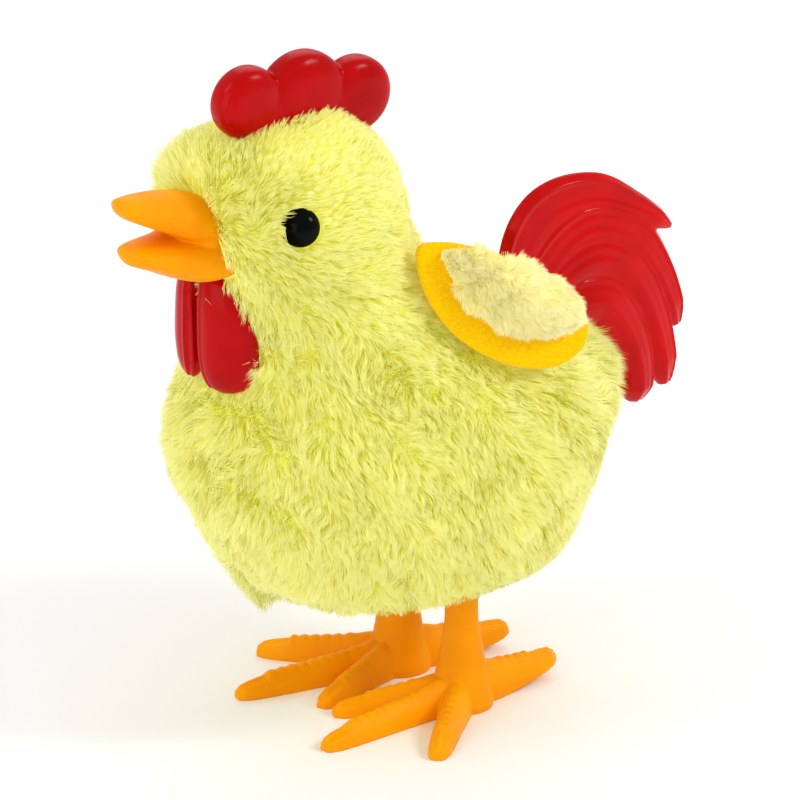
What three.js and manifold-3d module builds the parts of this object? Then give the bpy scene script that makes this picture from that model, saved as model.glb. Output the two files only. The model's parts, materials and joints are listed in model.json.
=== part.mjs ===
// Wind-up hopping chicken: a plush hen body over a two-part plastic shell, with a clockwork
// gearbox inside that rocks two moulded legs. Millimetres, +Z up. The hen faces -Y and its
// left side is +X. Shapes are first laid out about the ground point between the feet, and
// the whole hen is then moved so that its bounding box is centred over the origin.

import * as THREE from 'three';
import { mergeVertices } from 'three/addons/utils/BufferGeometryUtils.js';
import Module from 'manifold-3d';

const wasm = await Module();
wasm.setup();

// Driving dimensions
const FRAME_SHIFT_X = 1.9;
const FRAME_SHIFT_Y = 5.26;
const GAP = 0.3;

const SKIN_THICKNESS = 5.0;
const BASE_THINNING = 2.2;
const BASE_THINNING_HEIGHT = 12;
const SHELL_WALL = 1.5;
const SKIN_FLOOR_TOP = 20.7;
const SHELL_FLOOR_BOTTOM = 21.0;
const SHELL_FLOOR_TOP = 22.3;

const PLATE_INNER_X = 4.2;
const PLATE_THICKNESS = 1.2;
const PLATE_OUTER_X = PLATE_INNER_X + PLATE_THICKNESS;

const PIVOT = [-0.5, 25.4];
const CRANK = [-0.5, 37.4];
const MIDDLE = [-11.0, 37.4];
const MAIN = [-5.25, 47.36];

const MODULE = 0.5;
const MAIN_TEETH = 36;
const MIDDLE_WHEEL_TEETH = 32;
const PINION_TEETH = 10;
const BACKLASH = 0.2;

const CRANK_THROW = 2.0;
const CRANK_PIN_RADIUS = 0.7;
const CRANK_DISC_RADIUS = 3.6;

const LEG_INNER_X = 6.0;
const LEG_OUTER_X = 8.6;
const FOOT_X = 7.6;
const SPUR_INWARD = -2.0;
const SPUR_BACK = 1.35;
const TOE_OUT = 7;
const TOES = [
  { angle: TOE_OUT, length: 24.3, lift: 0, bulk: 1 },
  { angle: TOE_OUT + 39, length: 19.4, lift: 0, bulk: 1 },
  { angle: TOE_OUT - 27, length: 17.6, lift: 0, bulk: 1 },
  { angle: TOE_OUT + 180, length: 16.2, lift: 1.8, bulk: 1.15 },
];

const POSTS = [[6.5, 27.4], [-18.5, 28.0], [9.3, 45.4], [-14.5, 54.0]];
const SHELL_BOSSES = [[-22.0, 33.0], [12.0, 33.4], [-21.0, 68.0]];

// Body sections: height, centre Y, half length along Y, half width along X
const BODY = [
  [19.4, -4.8, 19.6, 15.6],
  [21.5, -5.2, 22.4, 18.2],
  [25, -5.8, 25.6, 20.6],
  [30, -6.4, 28.3, 22.6],
  [36, -6.6, 30.4, 24.0],
  [42, -6.6, 31.0, 24.3],
  [48, -7.3, 29.6, 23.8],
  [54, -9.8, 26.0, 21.6],
  [60, -14.2, 21.4, 19.3],
  [66, -19.4, 17.8, 17.4],
  [72, -22.8, 17.2, 17.2],
  [78, -23.4, 16.6, 16.6],
  [83, -23.4, 14.6, 14.4],
  [87, -23.4, 11.6, 10.9],
  [90, -22.6, 7.2, 6.4],
  [91.6, -22.2, 2.4, 2.2],
];

// Materials
const plain = (color, roughness, metalness = 0) =>
  new THREE.MeshStandardMaterial({ color, roughness, metalness });

const colours = {
  plush: 0xe3df70,
  wingPlush: 0xf0ea9e,
  felt: 0xfbc402,
  red: 0xc8060a,
  orange: 0xfcae0a,
  black: 0x0b0e0e,
  shell: 0xe8e2c4,
  plate: 0xd8d8d0,
  gear: 0xe9e4d6,
  steel: 0xb9bbbd,
  spring: 0x8a8f96,
  knob: 0xf2f1ec,
};

// Turning shapes into solids and back
const toSolid = (geometry) => {
  const g = geometry.clone();
  g.deleteAttribute('normal');
  g.deleteAttribute('uv');
  const merged = mergeVertices(g, 1e-4);
  const mesh = new wasm.Mesh({
    numProp: 3,
    vertProperties: new Float32Array(merged.attributes.position.array),
    triVerts: new Uint32Array(merged.index.array),
  });
  return new wasm.Manifold(mesh);
};

const toGeometry = (solid) => {
  const mesh = solid.getMesh();
  const g = new THREE.BufferGeometry();
  g.setAttribute('position', new THREE.BufferAttribute(new Float32Array(mesh.vertProperties), 3));
  g.setIndex(new THREE.BufferAttribute(new Uint32Array(mesh.triVerts), 1));
  g.computeVertexNormals();
  return g;
};

const joined = (...geometries) => {
  let solid = toSolid(geometries[0]);
  for (const g of geometries.slice(1)) {
    solid = solid.add(toSolid(g));
  }
  return solid;
};

const cut = (solid, ...tools) => {
  let left = solid;
  for (const tool of tools) {
    left = left.subtract(toSolid(tool));
  }
  return left;
};

// Rings of equal point counts joined into one closed body
const loft = (rings) => {
  const n = rings[0].length;
  const points = rings.flat();
  const index = [];
  for (let r = 0; r + 1 < rings.length; r += 1) {
    for (let i = 0; i < n; i += 1) {
      const a = r * n + i;
      const b = r * n + ((i + 1) % n);
      index.push(a, b, b + n, a, b + n, a + n);
    }
  }
  for (const [ring, flip] of [[0, true], [rings.length - 1, false]]) {
    const centre = new THREE.Vector3();
    for (const p of rings[ring]) {
      centre.addScaledVector(p, 1 / n);
    }
    const c = points.length;
    points.push(centre);
    for (let i = 0; i < n; i += 1) {
      const a = ring * n + i;
      const b = ring * n + ((i + 1) % n);
      if (flip) {
        index.push(c, b, a);
      } else {
        index.push(c, a, b);
      }
    }
  }
  let volume = 0;
  for (let i = 0; i < index.length; i += 3) {
    const [p, q, s] = [points[index[i]], points[index[i + 1]], points[index[i + 2]]];
    volume += p.dot(new THREE.Vector3().crossVectors(q, s));
  }
  if (volume < 0) {
    for (let i = 0; i < index.length; i += 3) {
      [index[i + 1], index[i + 2]] = [index[i + 2], index[i + 1]];
    }
  }
  const g = new THREE.BufferGeometry();
  g.setAttribute('position', new THREE.BufferAttribute(
    new Float32Array(points.flatMap((p) => [p.x, p.y, p.z])), 3));
  g.setIndex(index);
  g.computeVertexNormals();
  return g;
};

// A flat (y, z) outline pushed along X from x0 to x1
const ACROSS = new THREE.Matrix4().makeBasis(
  new THREE.Vector3(0, 1, 0), new THREE.Vector3(0, 0, 1), new THREE.Vector3(1, 0, 0));

const slabX = (shape, x0, x1, bevel = 0, bevelSegments = 2) => {
  const g = new THREE.ExtrudeGeometry(shape, {
    depth: x1 - x0 - 2 * bevel,
    curveSegments: 8,
    bevelEnabled: bevel > 0,
    bevelThickness: bevel,
    bevelSize: bevel,
    bevelOffset: -bevel,
    bevelSegments,
  });
  g.translate(0, 0, x0 + bevel);
  g.applyMatrix4(ACROSS);
  return g;
};

const outline = (points) => new THREE.Shape(points.map(([a, b]) => new THREE.Vector2(a, b)));

const smoothOutline = (points, divisions) => {
  const curve = new THREE.CatmullRomCurve3(
    points.map(([a, b]) => new THREE.Vector3(a, b, 0)), true, 'centripetal');
  return new THREE.Shape(curve.getSpacedPoints(divisions).slice(0, -1)
    .map((p) => new THREE.Vector2(p.x, p.y)));
};

const circlePath = (y, z, radius, segments = 20) => {
  const points = [];
  for (let i = 0; i < segments; i += 1) {
    const t = (2 * Math.PI * i) / segments;
    points.push([y + radius * Math.cos(t), z + radius * Math.sin(t)]);
  }
  return points;
};

const hole = (y, z, radius, segments = 20) =>
  new THREE.Path(circlePath(y, z, radius, segments).map(([a, b]) => new THREE.Vector2(a, b)));

const discX = (y, z, radius, x0, x1, segments = 20) =>
  slabX(outline(circlePath(y, z, radius, segments)), x0, x1);

// A profile of [distance along the axis, radius] pairs turned about the X axis
const turnedX = (profile, segments = 20) => {
  const g = new THREE.LatheGeometry(profile.map(([x, r]) => new THREE.Vector2(r, x)), segments);
  g.applyMatrix4(new THREE.Matrix4().makeBasis(
    new THREE.Vector3(0, 1, 0), new THREE.Vector3(1, 0, 0), new THREE.Vector3(0, 0, -1)));
  return g;
};

const box = (x0, x1, y0, y1, z0, z1) => {
  const g = new THREE.BoxGeometry(x1 - x0, y1 - y0, z1 - z0);
  g.translate((x0 + x1) / 2, (y0 + y1) / 2, (z0 + z1) / 2);
  return g;
};

// Scene graph helpers
const hen = new THREE.Group();
hen.position.set(FRAME_SHIFT_X, FRAME_SHIFT_Y, 0);

const addPiece = (name, shape, material, parent = hen) => {
  const geometry = shape.isBufferGeometry ? shape : toGeometry(shape);
  const mesh = new THREE.Mesh(geometry, material);
  mesh.name = name;
  parent.add(mesh);
  return mesh;
};

const axisGroup = ([y, z]) => {
  const g = new THREE.Group();
  g.position.set(0, y, z);
  hen.add(g);
  return g;
};

// Body surface
const section = (z) => {
  let i = 0;
  while (i < BODY.length - 2 && z > BODY[i + 1][0]) {
    i += 1;
  }
  const before = BODY[Math.max(i - 1, 0)];
  const [a, b] = [BODY[i], BODY[i + 1]];
  const after = BODY[Math.min(i + 2, BODY.length - 1)];
  const span = b[0] - a[0];
  const t = (z - a[0]) / span;
  return [1, 2, 3].map((k) => {
    const m0 = ((b[k] - before[k]) / (b[0] - before[0])) * span;
    const m1 = ((after[k] - a[k]) / (after[0] - a[0])) * span;
    const t2 = t * t;
    const t3 = t2 * t;
    return (2 * t3 - 3 * t2 + 1) * a[k] + (t3 - 2 * t2 + t) * m0
      + (3 * t2 - 2 * t3) * b[k] + (t3 - t2) * m1;
  });
};

const bodySolid = (inset, floor, levels, segments) => {
  const bottom = BODY[0][0];
  const top = BODY[BODY.length - 1][0];
  const rows = [];
  for (let i = 0; i <= levels; i += 1) {
    const z = bottom + (top - bottom) * (1 - (1 - i / levels) ** 1.25);
    const [cy, a, b] = section(z);
    const [, a2, b2] = section(Math.min(z + 0.4, top));
    const [, a1, b1] = section(Math.max(z - 0.4, bottom));
    const rise = Math.min(z + 0.4, top) - Math.max(z - 0.4, bottom);
    const slope = (a2 + b2 - a1 - b1) / 2 / rise;
    const length = Math.hypot(1, slope);
    const thinner = BASE_THINNING * Math.max(0, 1 - (z - bottom) / BASE_THINNING_HEIGHT);
    const depth = inset > 0 ? inset - thinner : 0;
    const row = [z + (depth * slope) / length, cy, a - depth / length, b - depth / length];
    if (row[2] > 0.5 && row[3] > 0.5) {
      rows.push(row);
    }
  }
  const first = rows[0];
  const kept = rows.filter((r) => r[0] > floor + 0.6);
  const base = inset > 0 ? [[floor, first[1], first[2] - 1.0, first[3] - 1.0]] : [];
  const start = inset > 0 ? kept : rows;
  return loft([...base, ...start].map(([z, cy, a, b]) => {
    const ring = [];
    for (let i = 0; i < segments; i += 1) {
      const t = (2 * Math.PI * i) / segments;
      const c = Math.cos(t);
      const q = Math.sin(t);
      const square = z < 40 ? 2.5 : 2.5 - 0.5 * Math.min(1, (z - 40) / 20);
      const grow = 1 / (Math.abs(c) ** square + Math.abs(q) ** square) ** (1 / square);
      ring.push(new THREE.Vector3(b * c * grow, cy + a * q * grow, z));
    }
    return ring;
  }));
};

// Comb: three fat lobes on a tab that plugs into the head
const COMB_OUTLINE = [
  [-31.2, 89.4], [-33.8, 91.2], [-34.5, 94.2], [-33.2, 96.6], [-30.4, 97.4], [-27.4, 96.2],
  [-26.1, 95.2], [-24.6, 96.9], [-20.9, 97.9], [-17.6, 96.4], [-15.7, 93.0], [-13.8, 94.9],
  [-10.8, 94.5], [-8.4, 92.4], [-7.3, 89.4], [-8.4, 86.6], [-11.4, 84.8], [-16.5, 86.6],
  [-24.0, 88.6],
];
const combTab = (grow) => box(-1.3 - grow, 1.3 + grow, -28 - grow, -15 + grow, 81 - grow, 90);
const combBody = slabX(smoothOutline(COMB_OUTLINE, 36), -3.3, 3.3, 2.0, 2);
const comb = joined(combBody, combTab(0));

// Tail: a drooping fan of four feathers on a tongue that plugs into the rump
const TAIL_OUTLINE = [
  [17.0, 53.0], [13.2, 57.4], [13.0, 61.4], [16.6, 66.1], [22.2, 68.3], [27.0, 67.8],
  [31.4, 65.2], [35.4, 61.6], [38.4, 58.2], [37.2, 56.6], [39.6, 50.8], [40.4, 46.8],
  [39.6, 44.0], [38.1, 44.4], [39.5, 39.6], [39.4, 37.0], [37.8, 36.0], [35.9, 37.8],
  [34.8, 35.2], [33.2, 34.9], [31.2, 37.2], [29.0, 42.0], [25.0, 46.4], [21.0, 49.0],
];
const TAIL_TONGUE = [[13.0, 47.5], [13.0, 54.0], [17.0, 57.5], [24.0, 52.0], [22.0, 46.0]];
const TONGUE_CENTRE = [18, 51.5];
const grownTongue = (grow) => {
  const scale = 1 + grow / 4.5;
  const shape = outline(TAIL_TONGUE.map(([y, z]) => [
    TONGUE_CENTRE[0] + (y - TONGUE_CENTRE[0]) * scale,
    TONGUE_CENTRE[1] + (z - TONGUE_CENTRE[1]) * scale,
  ]));
  return slabX(shape, -1.6 - grow, 1.6 + grow);
};
const tail = joined(slabX(smoothOutline(TAIL_OUTLINE, 46), -2.8, 2.8, 1.2, 1), grownTongue(0));

// Beak: an open bill with a round peg into the face
const billRing = (y, low, high, half, points = 12) => {
  const ring = [];
  for (let i = 0; i < points; i += 1) {
    const t = (2 * Math.PI * (i + 0.5)) / points;
    const s = Math.sign(Math.sin(t)) * Math.abs(Math.sin(t)) ** 0.8;
    ring.push(new THREE.Vector3(
      half * Math.cos(t), y, (low + high) / 2 + ((high - low) / 2) * s));
  }
  return ring;
};
const upperBill = loft([
  billRing(-37.0, 74.0, 80.0, 5.4), billRing(-39.6, 75.4, 81.1, 5.6),
  billRing(-43.0, 77.4, 82.1, 4.9), billRing(-46.4, 78.8, 82.6, 3.8),
  billRing(-49.2, 80.2, 82.8, 2.5), billRing(-50.9, 81.3, 82.7, 1.0),
]);
const lowerBill = loft([
  billRing(-37.0, 69.2, 76.0, 7.2), billRing(-39.6, 69.4, 76.4, 6.9),
  billRing(-42.6, 70.8, 76.4, 5.2), billRing(-46.0, 72.6, 76.4, 3.8),
  billRing(-48.4, 73.8, 76.4, 2.4), billRing(-49.9, 74.9, 76.2, 0.9),
]);
const beakPeg = (grow) => {
  const g = new THREE.CylinderGeometry(2.4 + grow, 2.4 + grow, 8 + grow, 16);
  g.translate(0, -34 + grow / 2, 75);
  return g;
};
const beak = joined(upperBill, lowerBill, beakPeg(0));

// Wattle: two hanging lobes curved round the throat, on a flat tab
const wattleLobe = (side) => {
  const rings = [];
  const rows = [
    [68.6, 3.2, 2.1, 1.4], [66.4, 3.6, 2.8, 2.0], [63.0, 4.0, 3.5, 2.3], [59.0, 4.2, 3.8, 2.5],
    [55.8, 4.3, 3.6, 2.3], [53.9, 4.3, 2.7, 1.7], [53.1, 4.3, 1.2, 0.9],
  ];
  for (const [z, cx, half, depth] of rows) {
    const ring = [];
    for (let i = 0; i < 12; i += 1) {
      const t = (2 * Math.PI * i) / 12;
      const x = cx + half * Math.cos(t);
      const bend = 0.045 * x * x - 0.05 * (z - 60);
      ring.push(new THREE.Vector3(side * x, -37.7 + bend + depth * Math.sin(t), z));
    }
    rings.push(ring);
  }
  return loft(rings);
};
const wattleTab = (grow) => box(-3 - grow, 3 + grow, -38.6, -29.0 + grow, 62 - grow, 65 + grow);
const wattle = joined(wattleLobe(1), wattleLobe(-1), wattleTab(0));

// Eyes: domed buttons with a shank through the plush
const EYE = new THREE.Vector3(11.9, -29.2, 78.1);
const EYE_AXIS = new THREE.Vector3(0.8, -0.56, 0.22).normalize();
const aimed = (geometry, side) => {
  const axis = EYE_AXIS.clone();
  axis.x *= side;
  const g = geometry.clone();
  g.applyQuaternion(new THREE.Quaternion().setFromUnitVectors(
    new THREE.Vector3(0, 1, 0), axis));
  g.translate(side * EYE.x, EYE.y, EYE.z);
  return g;
};
const EYE_PROFILE = [
  [0, -6.0], [1.1, -6.0], [1.1, -0.6], [2.75, -0.4], [2.9, 0.2], [2.6, 1.1], [1.9, 1.8],
  [1.0, 2.2], [0, 2.35],
];
const eyeButton = new THREE.LatheGeometry(EYE_PROFILE.map(([r, h]) => new THREE.Vector2(r, h)), 16);
const eyePocket = new THREE.CylinderGeometry(3.3, 3.3, 9.5, 20);
eyePocket.translate(0, 3.9, 0);
const eyeShankHole = new THREE.CylinderGeometry(1.45, 1.45, 16, 12);

// Plush skin
const knobWell = discX(MAIN[0], MAIN[1], 6.4, -40, -15, 24);
const legWindow = new THREE.CylinderGeometry(1, 1, 20, 28);
legWindow.rotateX(Math.PI / 2);
legWindow.scale(12.2, 9.2, 1);
legWindow.translate(0, -0.2, 20);
const skin = cut(
  toSolid(bodySolid(0, 0, 22, 30)),
  bodySolid(SKIN_THICKNESS, SKIN_FLOOR_TOP, 14, 20),
  legWindow,
  knobWell,
);
const headOpenings = () => [
  slabX(smoothOutline(COMB_OUTLINE, 36), -3.6, 3.6),
  combTab(GAP),
  slabX(smoothOutline(TAIL_OUTLINE, 46), -3.1, 3.1),
  grownTongue(GAP),
  beakPeg(GAP),
  wattleTab(GAP),
];
const grownBill = (g) => {
  const c = g.clone();
  c.translate(0, 39, -75.5);
  c.scale(1.07, 1.07, 1.07);
  c.translate(0, -39, 75.5);
  return c;
};
const grownLobe = (g, side) => {
  const c = g.clone();
  c.translate(-side * 5, 38, -60.5);
  c.scale(1.12, 1.18, 1.06);
  c.translate(side * 5, -38, 60.5);
  return c;
};
let plush = cut(skin, ...headOpenings(), grownBill(upperBill), grownBill(lowerBill));
plush = cut(plush, grownLobe(wattleLobe(1), 1), grownLobe(wattleLobe(-1), -1));
for (const side of [1, -1]) {
  plush = cut(plush, aimed(eyePocket, side), aimed(eyeShankHole, side));
}
addPiece('plush_skin', plush, plain(colours.plush, 1.0));

// Shell halves, with slots for the legs and bosses for the screws
const shellWhole = cut(
  toSolid(bodySolid(SKIN_THICKNESS + GAP, SHELL_FLOOR_BOTTOM, 14, 20)),
  bodySolid(SKIN_THICKNESS + GAP + SHELL_WALL, SHELL_FLOOR_TOP, 12, 20),
);
const shellCore = toSolid(bodySolid(SKIN_THICKNESS + GAP + 0.4, SHELL_FLOOR_BOTTOM, 14, 20));
const shellHalf = (side) => {
  let half = shellWhole;
  for (const [y, z] of SHELL_BOSSES) {
    const ends = [side * 0.2, side * 26].sort((a, b) => a - b);
    half = half.add(toSolid(discX(y, z, 2.3, ends[0], ends[1], 12)).intersect(shellCore));
  }
  half = half.subtract(toSolid(side > 0
    ? box(-60, 0.15, -60, 60, 0, 120) : box(-0.15, 60, -60, 60, 0, 120)));
  const slot = [side * 5.3, side * 9.4].sort((a, b) => a - b);
  half = cut(half, box(slot[0], slot[1], -4.9, 3.9, 10, 26));
  const tools = [combTab(GAP), grownTongue(GAP), beakPeg(GAP), wattleTab(GAP)];
  half = cut(half, ...tools, aimed(eyeShankHole, side));
  for (const [y, z] of SHELL_BOSSES) {
    half = cut(half, discX(y, z, 1.15, side > 0 ? -1 : -40, side > 0 ? 9.4 : 1, 10));
    if (side < 0) {
      half = cut(half, discX(y, z, 1.9, -40, -6.2, 12));
    }
  }
  if (side < 0) {
    half = cut(half, discX(MAIN[0], MAIN[1], 2.2, -40, -10, 16));
  }
  return half;
};
addPiece('body_shell_left', shellHalf(1), plain(colours.shell, 0.45));
addPiece('body_shell_right', shellHalf(-1), plain(colours.shell, 0.45));
SHELL_BOSSES.forEach(([y, z], i) => {
  const screw = turnedX([
    [-9.0, 0], [-9.0, 1.5], [-7.9, 1.6], [-7.1, 0.8], [6.8, 0.8], [7.6, 0],
  ], 8);
  screw.translate(0, y, z);
  const group = new THREE.Group();
  group.position.set(0.8, 0, 0);
  hen.add(group);
  addPiece(`shell_screw_${i + 1}`, screw, plain(colours.steel, 0.35, 0.9), group);
});

addPiece('comb', comb, plain(colours.red, 0.25));
addPiece('tail', tail, plain(colours.red, 0.25));
addPiece('beak', beak, plain(colours.orange, 0.35));
addPiece('wattle', wattle, plain(colours.red, 0.25));
addPiece('left_eye', aimed(eyeButton, 1), plain(colours.black, 0.08));
addPiece('right_eye', aimed(eyeButton, -1), plain(colours.black, 0.08));

// Wings: a felt oval with a smaller plush pad on top, hinged at the front end
const WING_FRONT = new THREE.Vector3(15.4, -12.2, 72.2);
const WING_ALONG = new THREE.Vector3(6.7, 22.9, -13.9).normalize();
const WING_UP = new THREE.Vector3(0.9596, -0.129, 0.25).cross(WING_ALONG).normalize();
const WING_NORMAL = new THREE.Vector3().crossVectors(WING_ALONG, WING_UP).normalize();
const FELT_OUTLINE = [
  [-0.6, -0.2], [2.6, -5.0], [8.0, -8.2], [13.8, -9.5], [20.0, -9.2], [24.8, -7.2],
  [27.4, -3.8], [27.2, -0.6], [24.6, 1.8], [19.5, 3.2], [13.0, 3.6], [7.0, 3.2], [2.0, 1.9],
];
const PAD_OUTLINE = [
  [2.2, 0.8], [4.6, -1.9], [9.0, -4.4], [13.9, -5.2], [18.0, -4.8], [21.6, -3.4],
  [24.0, -1.2], [24.2, 1.2], [21.6, 3.0], [16.6, 3.6], [11.0, 3.4], [6.0, 2.6],
];
const wingPlate = (points, from, to, bevel, side, divisions) => {
  const g = new THREE.ExtrudeGeometry(smoothOutline(points, divisions), {
    depth: to - from - 2 * bevel,
    bevelEnabled: bevel > 0,
    bevelThickness: bevel,
    bevelSize: bevel,
    bevelOffset: -bevel,
    bevelSegments: 2,
  });
  g.translate(0, 0, from + bevel);
  g.applyMatrix4(new THREE.Matrix4().makeBasis(WING_ALONG, WING_UP, WING_NORMAL));
  g.translate(WING_FRONT.x, WING_FRONT.y, WING_FRONT.z);
  if (side > 0) {
    return toSolid(g);
  }
  return toSolid(g).mirror([1, 0, 0]);
};
for (const [name, side] of [['left', 1], ['right', -1]]) {
  addPiece(`${name}_wing_felt`, wingPlate(FELT_OUTLINE, 0, 1.6, 0, side, 32),
    plain(colours.felt, 0.9));
  addPiece(`${name}_wing_plush`, wingPlate(PAD_OUTLINE, 1.9, 5.9, 1.2, side, 24),
    plain(colours.wingPlush, 1.0));
}

// Gears
const involute = (radius, base) => {
  const a = Math.acos(Math.min(1, base / radius));
  return Math.tan(a) - a;
};
const gearOutline = (teeth, addendum, turn) => {
  const pitch = (MODULE * teeth) / 2;
  const base = pitch * Math.cos((20 * Math.PI) / 180);
  const tip = pitch + addendum * MODULE;
  const root = pitch - 1.25 * MODULE;
  const half = Math.PI / (2 * teeth) - BACKLASH / (4 * pitch) + involute(pitch, base);
  const low = Math.max(base, root + 0.02);
  const radii = teeth > 20 ? [pitch, tip] : [low, pitch, tip];
  const points = [];
  for (let i = 0; i < teeth; i += 1) {
    const centre = turn + (2 * Math.PI * i) / teeth;
    const flank = radii.map((r) => [r, half - involute(r, base)]);
    const side = [[root, flank[0][1] - 0.04 / low], ...flank];
    for (const [r, t] of side) {
      points.push([r * Math.cos(centre - t), r * Math.sin(centre - t)]);
    }
    for (const [r, t] of [...side].reverse()) {
      points.push([r * Math.cos(centre + t), r * Math.sin(centre + t)]);
    }
  }
  return points;
};
const gear = (teeth, addendum, turn, bore, x0, x1) => {
  const shape = outline(gearOutline(teeth, addendum, turn));
  shape.holes.push(hole(0, 0, bore, 16));
  return slabX(shape, x0, x1);
};
const bearing = (from, to) => Math.atan2(to[1] - from[1], to[0] - from[0]);
const MAIN_TURN = bearing(MAIN, MIDDLE);
const MIDDLE_PINION_TURN = MAIN_TURN + Math.PI + Math.PI / PINION_TEETH;
const MIDDLE_WHEEL_TURN = bearing(MIDDLE, CRANK);
const CRANK_PINION_TURN = MIDDLE_WHEEL_TURN + Math.PI + Math.PI / PINION_TEETH;
const steel = () => plain(colours.steel, 0.35, 0.9);
const gearPlastic = () => plain(colours.gear, 0.4);

// Winding arbor, ratchet wheel and knob
const winder = axisGroup(MAIN);
addPiece('winding_arbor', turnedX([
  [-25.2, 0], [-25.2, 1.5], [-0.6, 1.5], [-0.6, 1.0], [5.8, 1.0], [5.8, 0],
], 16), steel(), winder);
const ratchet = [];
for (let i = 0; i < 12; i += 1) {
  const t = (2 * Math.PI * i) / 12;
  ratchet.push([4.2 * Math.cos(t), 4.2 * Math.sin(t)]);
  ratchet.push([3.2 * Math.cos(t + 0.06), 3.2 * Math.sin(t + 0.06)]);
}
const ratchetShape = outline(ratchet);
ratchetShape.holes.push(hole(0, 0, 1.3, 16));
addPiece('ratchet_wheel', slabX(ratchetShape, -0.4, 0.5), steel(), winder);
const knobHub = turnedX([
  [-26.0, 0], [-26.0, 2.8], [-25.4, 3.3], [-21.4, 3.3], [-20.8, 2.9], [-20.8, 0],
], 16);
const knobPaddle = slabX(smoothOutline([
  [-1.2, -5.2], [1.2, -5.2], [1.4, 0], [1.2, 5.2], [-1.2, 5.2], [-1.4, 0],
], 16), -30.5, -25.0, 0.5, 1);
const knob = cut(joined(knobHub, knobPaddle), discX(0, 0, 1.8, -25.5, -18, 16));
addPiece('winding_knob', knob, plain(colours.knob, 0.35), winder);

// Main wheel with its click
const mainGroup = axisGroup(MAIN);
addPiece('main_wheel', gear(MAIN_TEETH, 0.75, MAIN_TURN, 1.3, 0.9, 2.3), gearPlastic(), mainGroup);
const click = smoothOutline([
  [5.6, 2.6], [7.2, 2.2], [7.6, 0.6], [6.6, -0.4], [5.2, -1.0], [4.6, -0.6], [5.0, 0.6],
], 18);
addPiece('ratchet_click', slabX(click, -0.4, 0.6), steel(), mainGroup);

// Middle wheel and pinion on one shaft
const middle = axisGroup(MIDDLE);
addPiece('middle_shaft', turnedX([[-5.2, 0], [-5.2, 0.7], [5.2, 0.7], [5.2, 0]], 12),
  steel(), middle);
addPiece('middle_pinion', gear(PINION_TEETH, 1.0, MIDDLE_PINION_TURN, 0.95, 0.7, 2.4),
  gearPlastic(), middle);
addPiece('middle_wheel', gear(MIDDLE_WHEEL_TEETH, 0.75, MIDDLE_WHEEL_TURN, 0.95, 2.7, 3.8),
  gearPlastic(), middle);

// Crank shaft: pinion and a crank disc with its pin at each end
const crank = axisGroup(CRANK);
addPiece('crank_shaft', turnedX([[-5.2, 0], [-5.2, 0.8], [5.2, 0.8], [5.2, 0]], 12),
  steel(), crank);
addPiece('crank_pinion', gear(PINION_TEETH, 1.0, CRANK_PINION_TURN, 1.05, 2.6, 3.9),
  gearPlastic(), crank);
for (const [name, side] of [['left', 1], ['right', -1]]) {
  const span = (a, b) => [side * a, side * b].sort((p, q) => p - q);
  const disc = discX(0, 0, CRANK_DISC_RADIUS, ...span(4.3, 5.6), 24);
  const pin = discX(0, CRANK_THROW, CRANK_PIN_RADIUS, ...span(5.0, 9.0), 12);
  const end = cut(joined(disc, pin), discX(0, 0, 1.05, ...span(4.0, 5.3), 16));
  addPiece(`crank_${name}`, end, plain(colours.plate, 0.4), crank);
}

// Mainspring: a coiled strip hooked round a gearbox post
const spiral = [];
const SPRING_TURNS = 5;
const SPRING_STEPS = SPRING_TURNS * 16;
const anchor = [POSTS[3][0] - MAIN[0], POSTS[3][1] - MAIN[1]];
const anchorDistance = Math.hypot(...anchor);
const anchorAngle = Math.atan2(anchor[1], anchor[0]);
const springEnd = -82 * (Math.PI / 180);
for (let i = 0; i <= SPRING_STEPS; i += 1) {
  const f = i / SPRING_STEPS;
  const t = springEnd - (1 - f) * SPRING_TURNS * 2 * Math.PI;
  const r = 2.1 + 5.9 * f;
  spiral.push([r * Math.cos(t), r * Math.sin(t)]);
}
const HOOK = [[-6.3, -5.2], [-1.8, -2.3], [0.4, -2.35], [1.9, -1.4], [2.35, 0.3], [1.5, 1.9]];
for (const [along, across] of HOOK) {
  spiral.push([anchorDistance + along, across]);
}
const springPath = spiral.map(([a, b]) => [
  MAIN[0] + a * Math.cos(anchorAngle) - b * Math.sin(anchorAngle),
  MAIN[1] + a * Math.sin(anchorAngle) + b * Math.cos(anchorAngle),
]);
const strip = (path, half) => {
  const left = [];
  const right = [];
  path.forEach(([y, z], i) => {
    const a = path[Math.max(i - 1, 0)];
    const b = path[Math.min(i + 1, path.length - 1)];
    const d = Math.hypot(b[0] - a[0], b[1] - a[1]);
    const n = [-(b[1] - a[1]) / d, (b[0] - a[0]) / d];
    left.push([y + half * n[0], z + half * n[1]]);
    right.push([y - half * n[0], z - half * n[1]]);
  });
  return outline([...left, ...right.reverse()]);
};
addPiece('mainspring', slabX(strip(springPath, 0.15), -3.8, -0.9), plain(colours.spring, 0.4, 0.9));

// Gearbox plates, posts and screws
const PLATE_OUTLINE = [
  [-20.6, 25.6], [-25.0, 30.2], [-25.4, 33.6], [-24.0, 36.8], [-20.6, 39.6], [-20.0, 48.0],
  [-17.2, 54.6], [-13.6, 57.0], [-6.0, 57.4], [-1.0, 56.0], [4.8, 51.2], [11.8, 46.8],
  [11.8, 40.4], [9.3, 37.0], [9.1, 32.4], [9.1, 28.4], [8.2, 25.4],
  [5.4, 22.8], [-6.6, 22.8],
];
const plateShape = (arborBore) => {
  const shape = outline(PLATE_OUTLINE);
  shape.holes.push(hole(PIVOT[0], PIVOT[1], 1.25, 16));
  shape.holes.push(hole(CRANK[0], CRANK[1], 3.95, 24));
  shape.holes.push(hole(MIDDLE[0], MIDDLE[1], 0.95, 14));
  shape.holes.push(hole(MAIN[0], MAIN[1], arborBore, 16));
  shape.holes.push(hole(...SHELL_BOSSES[0], 2.65, 18));
  return shape;
};
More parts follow.
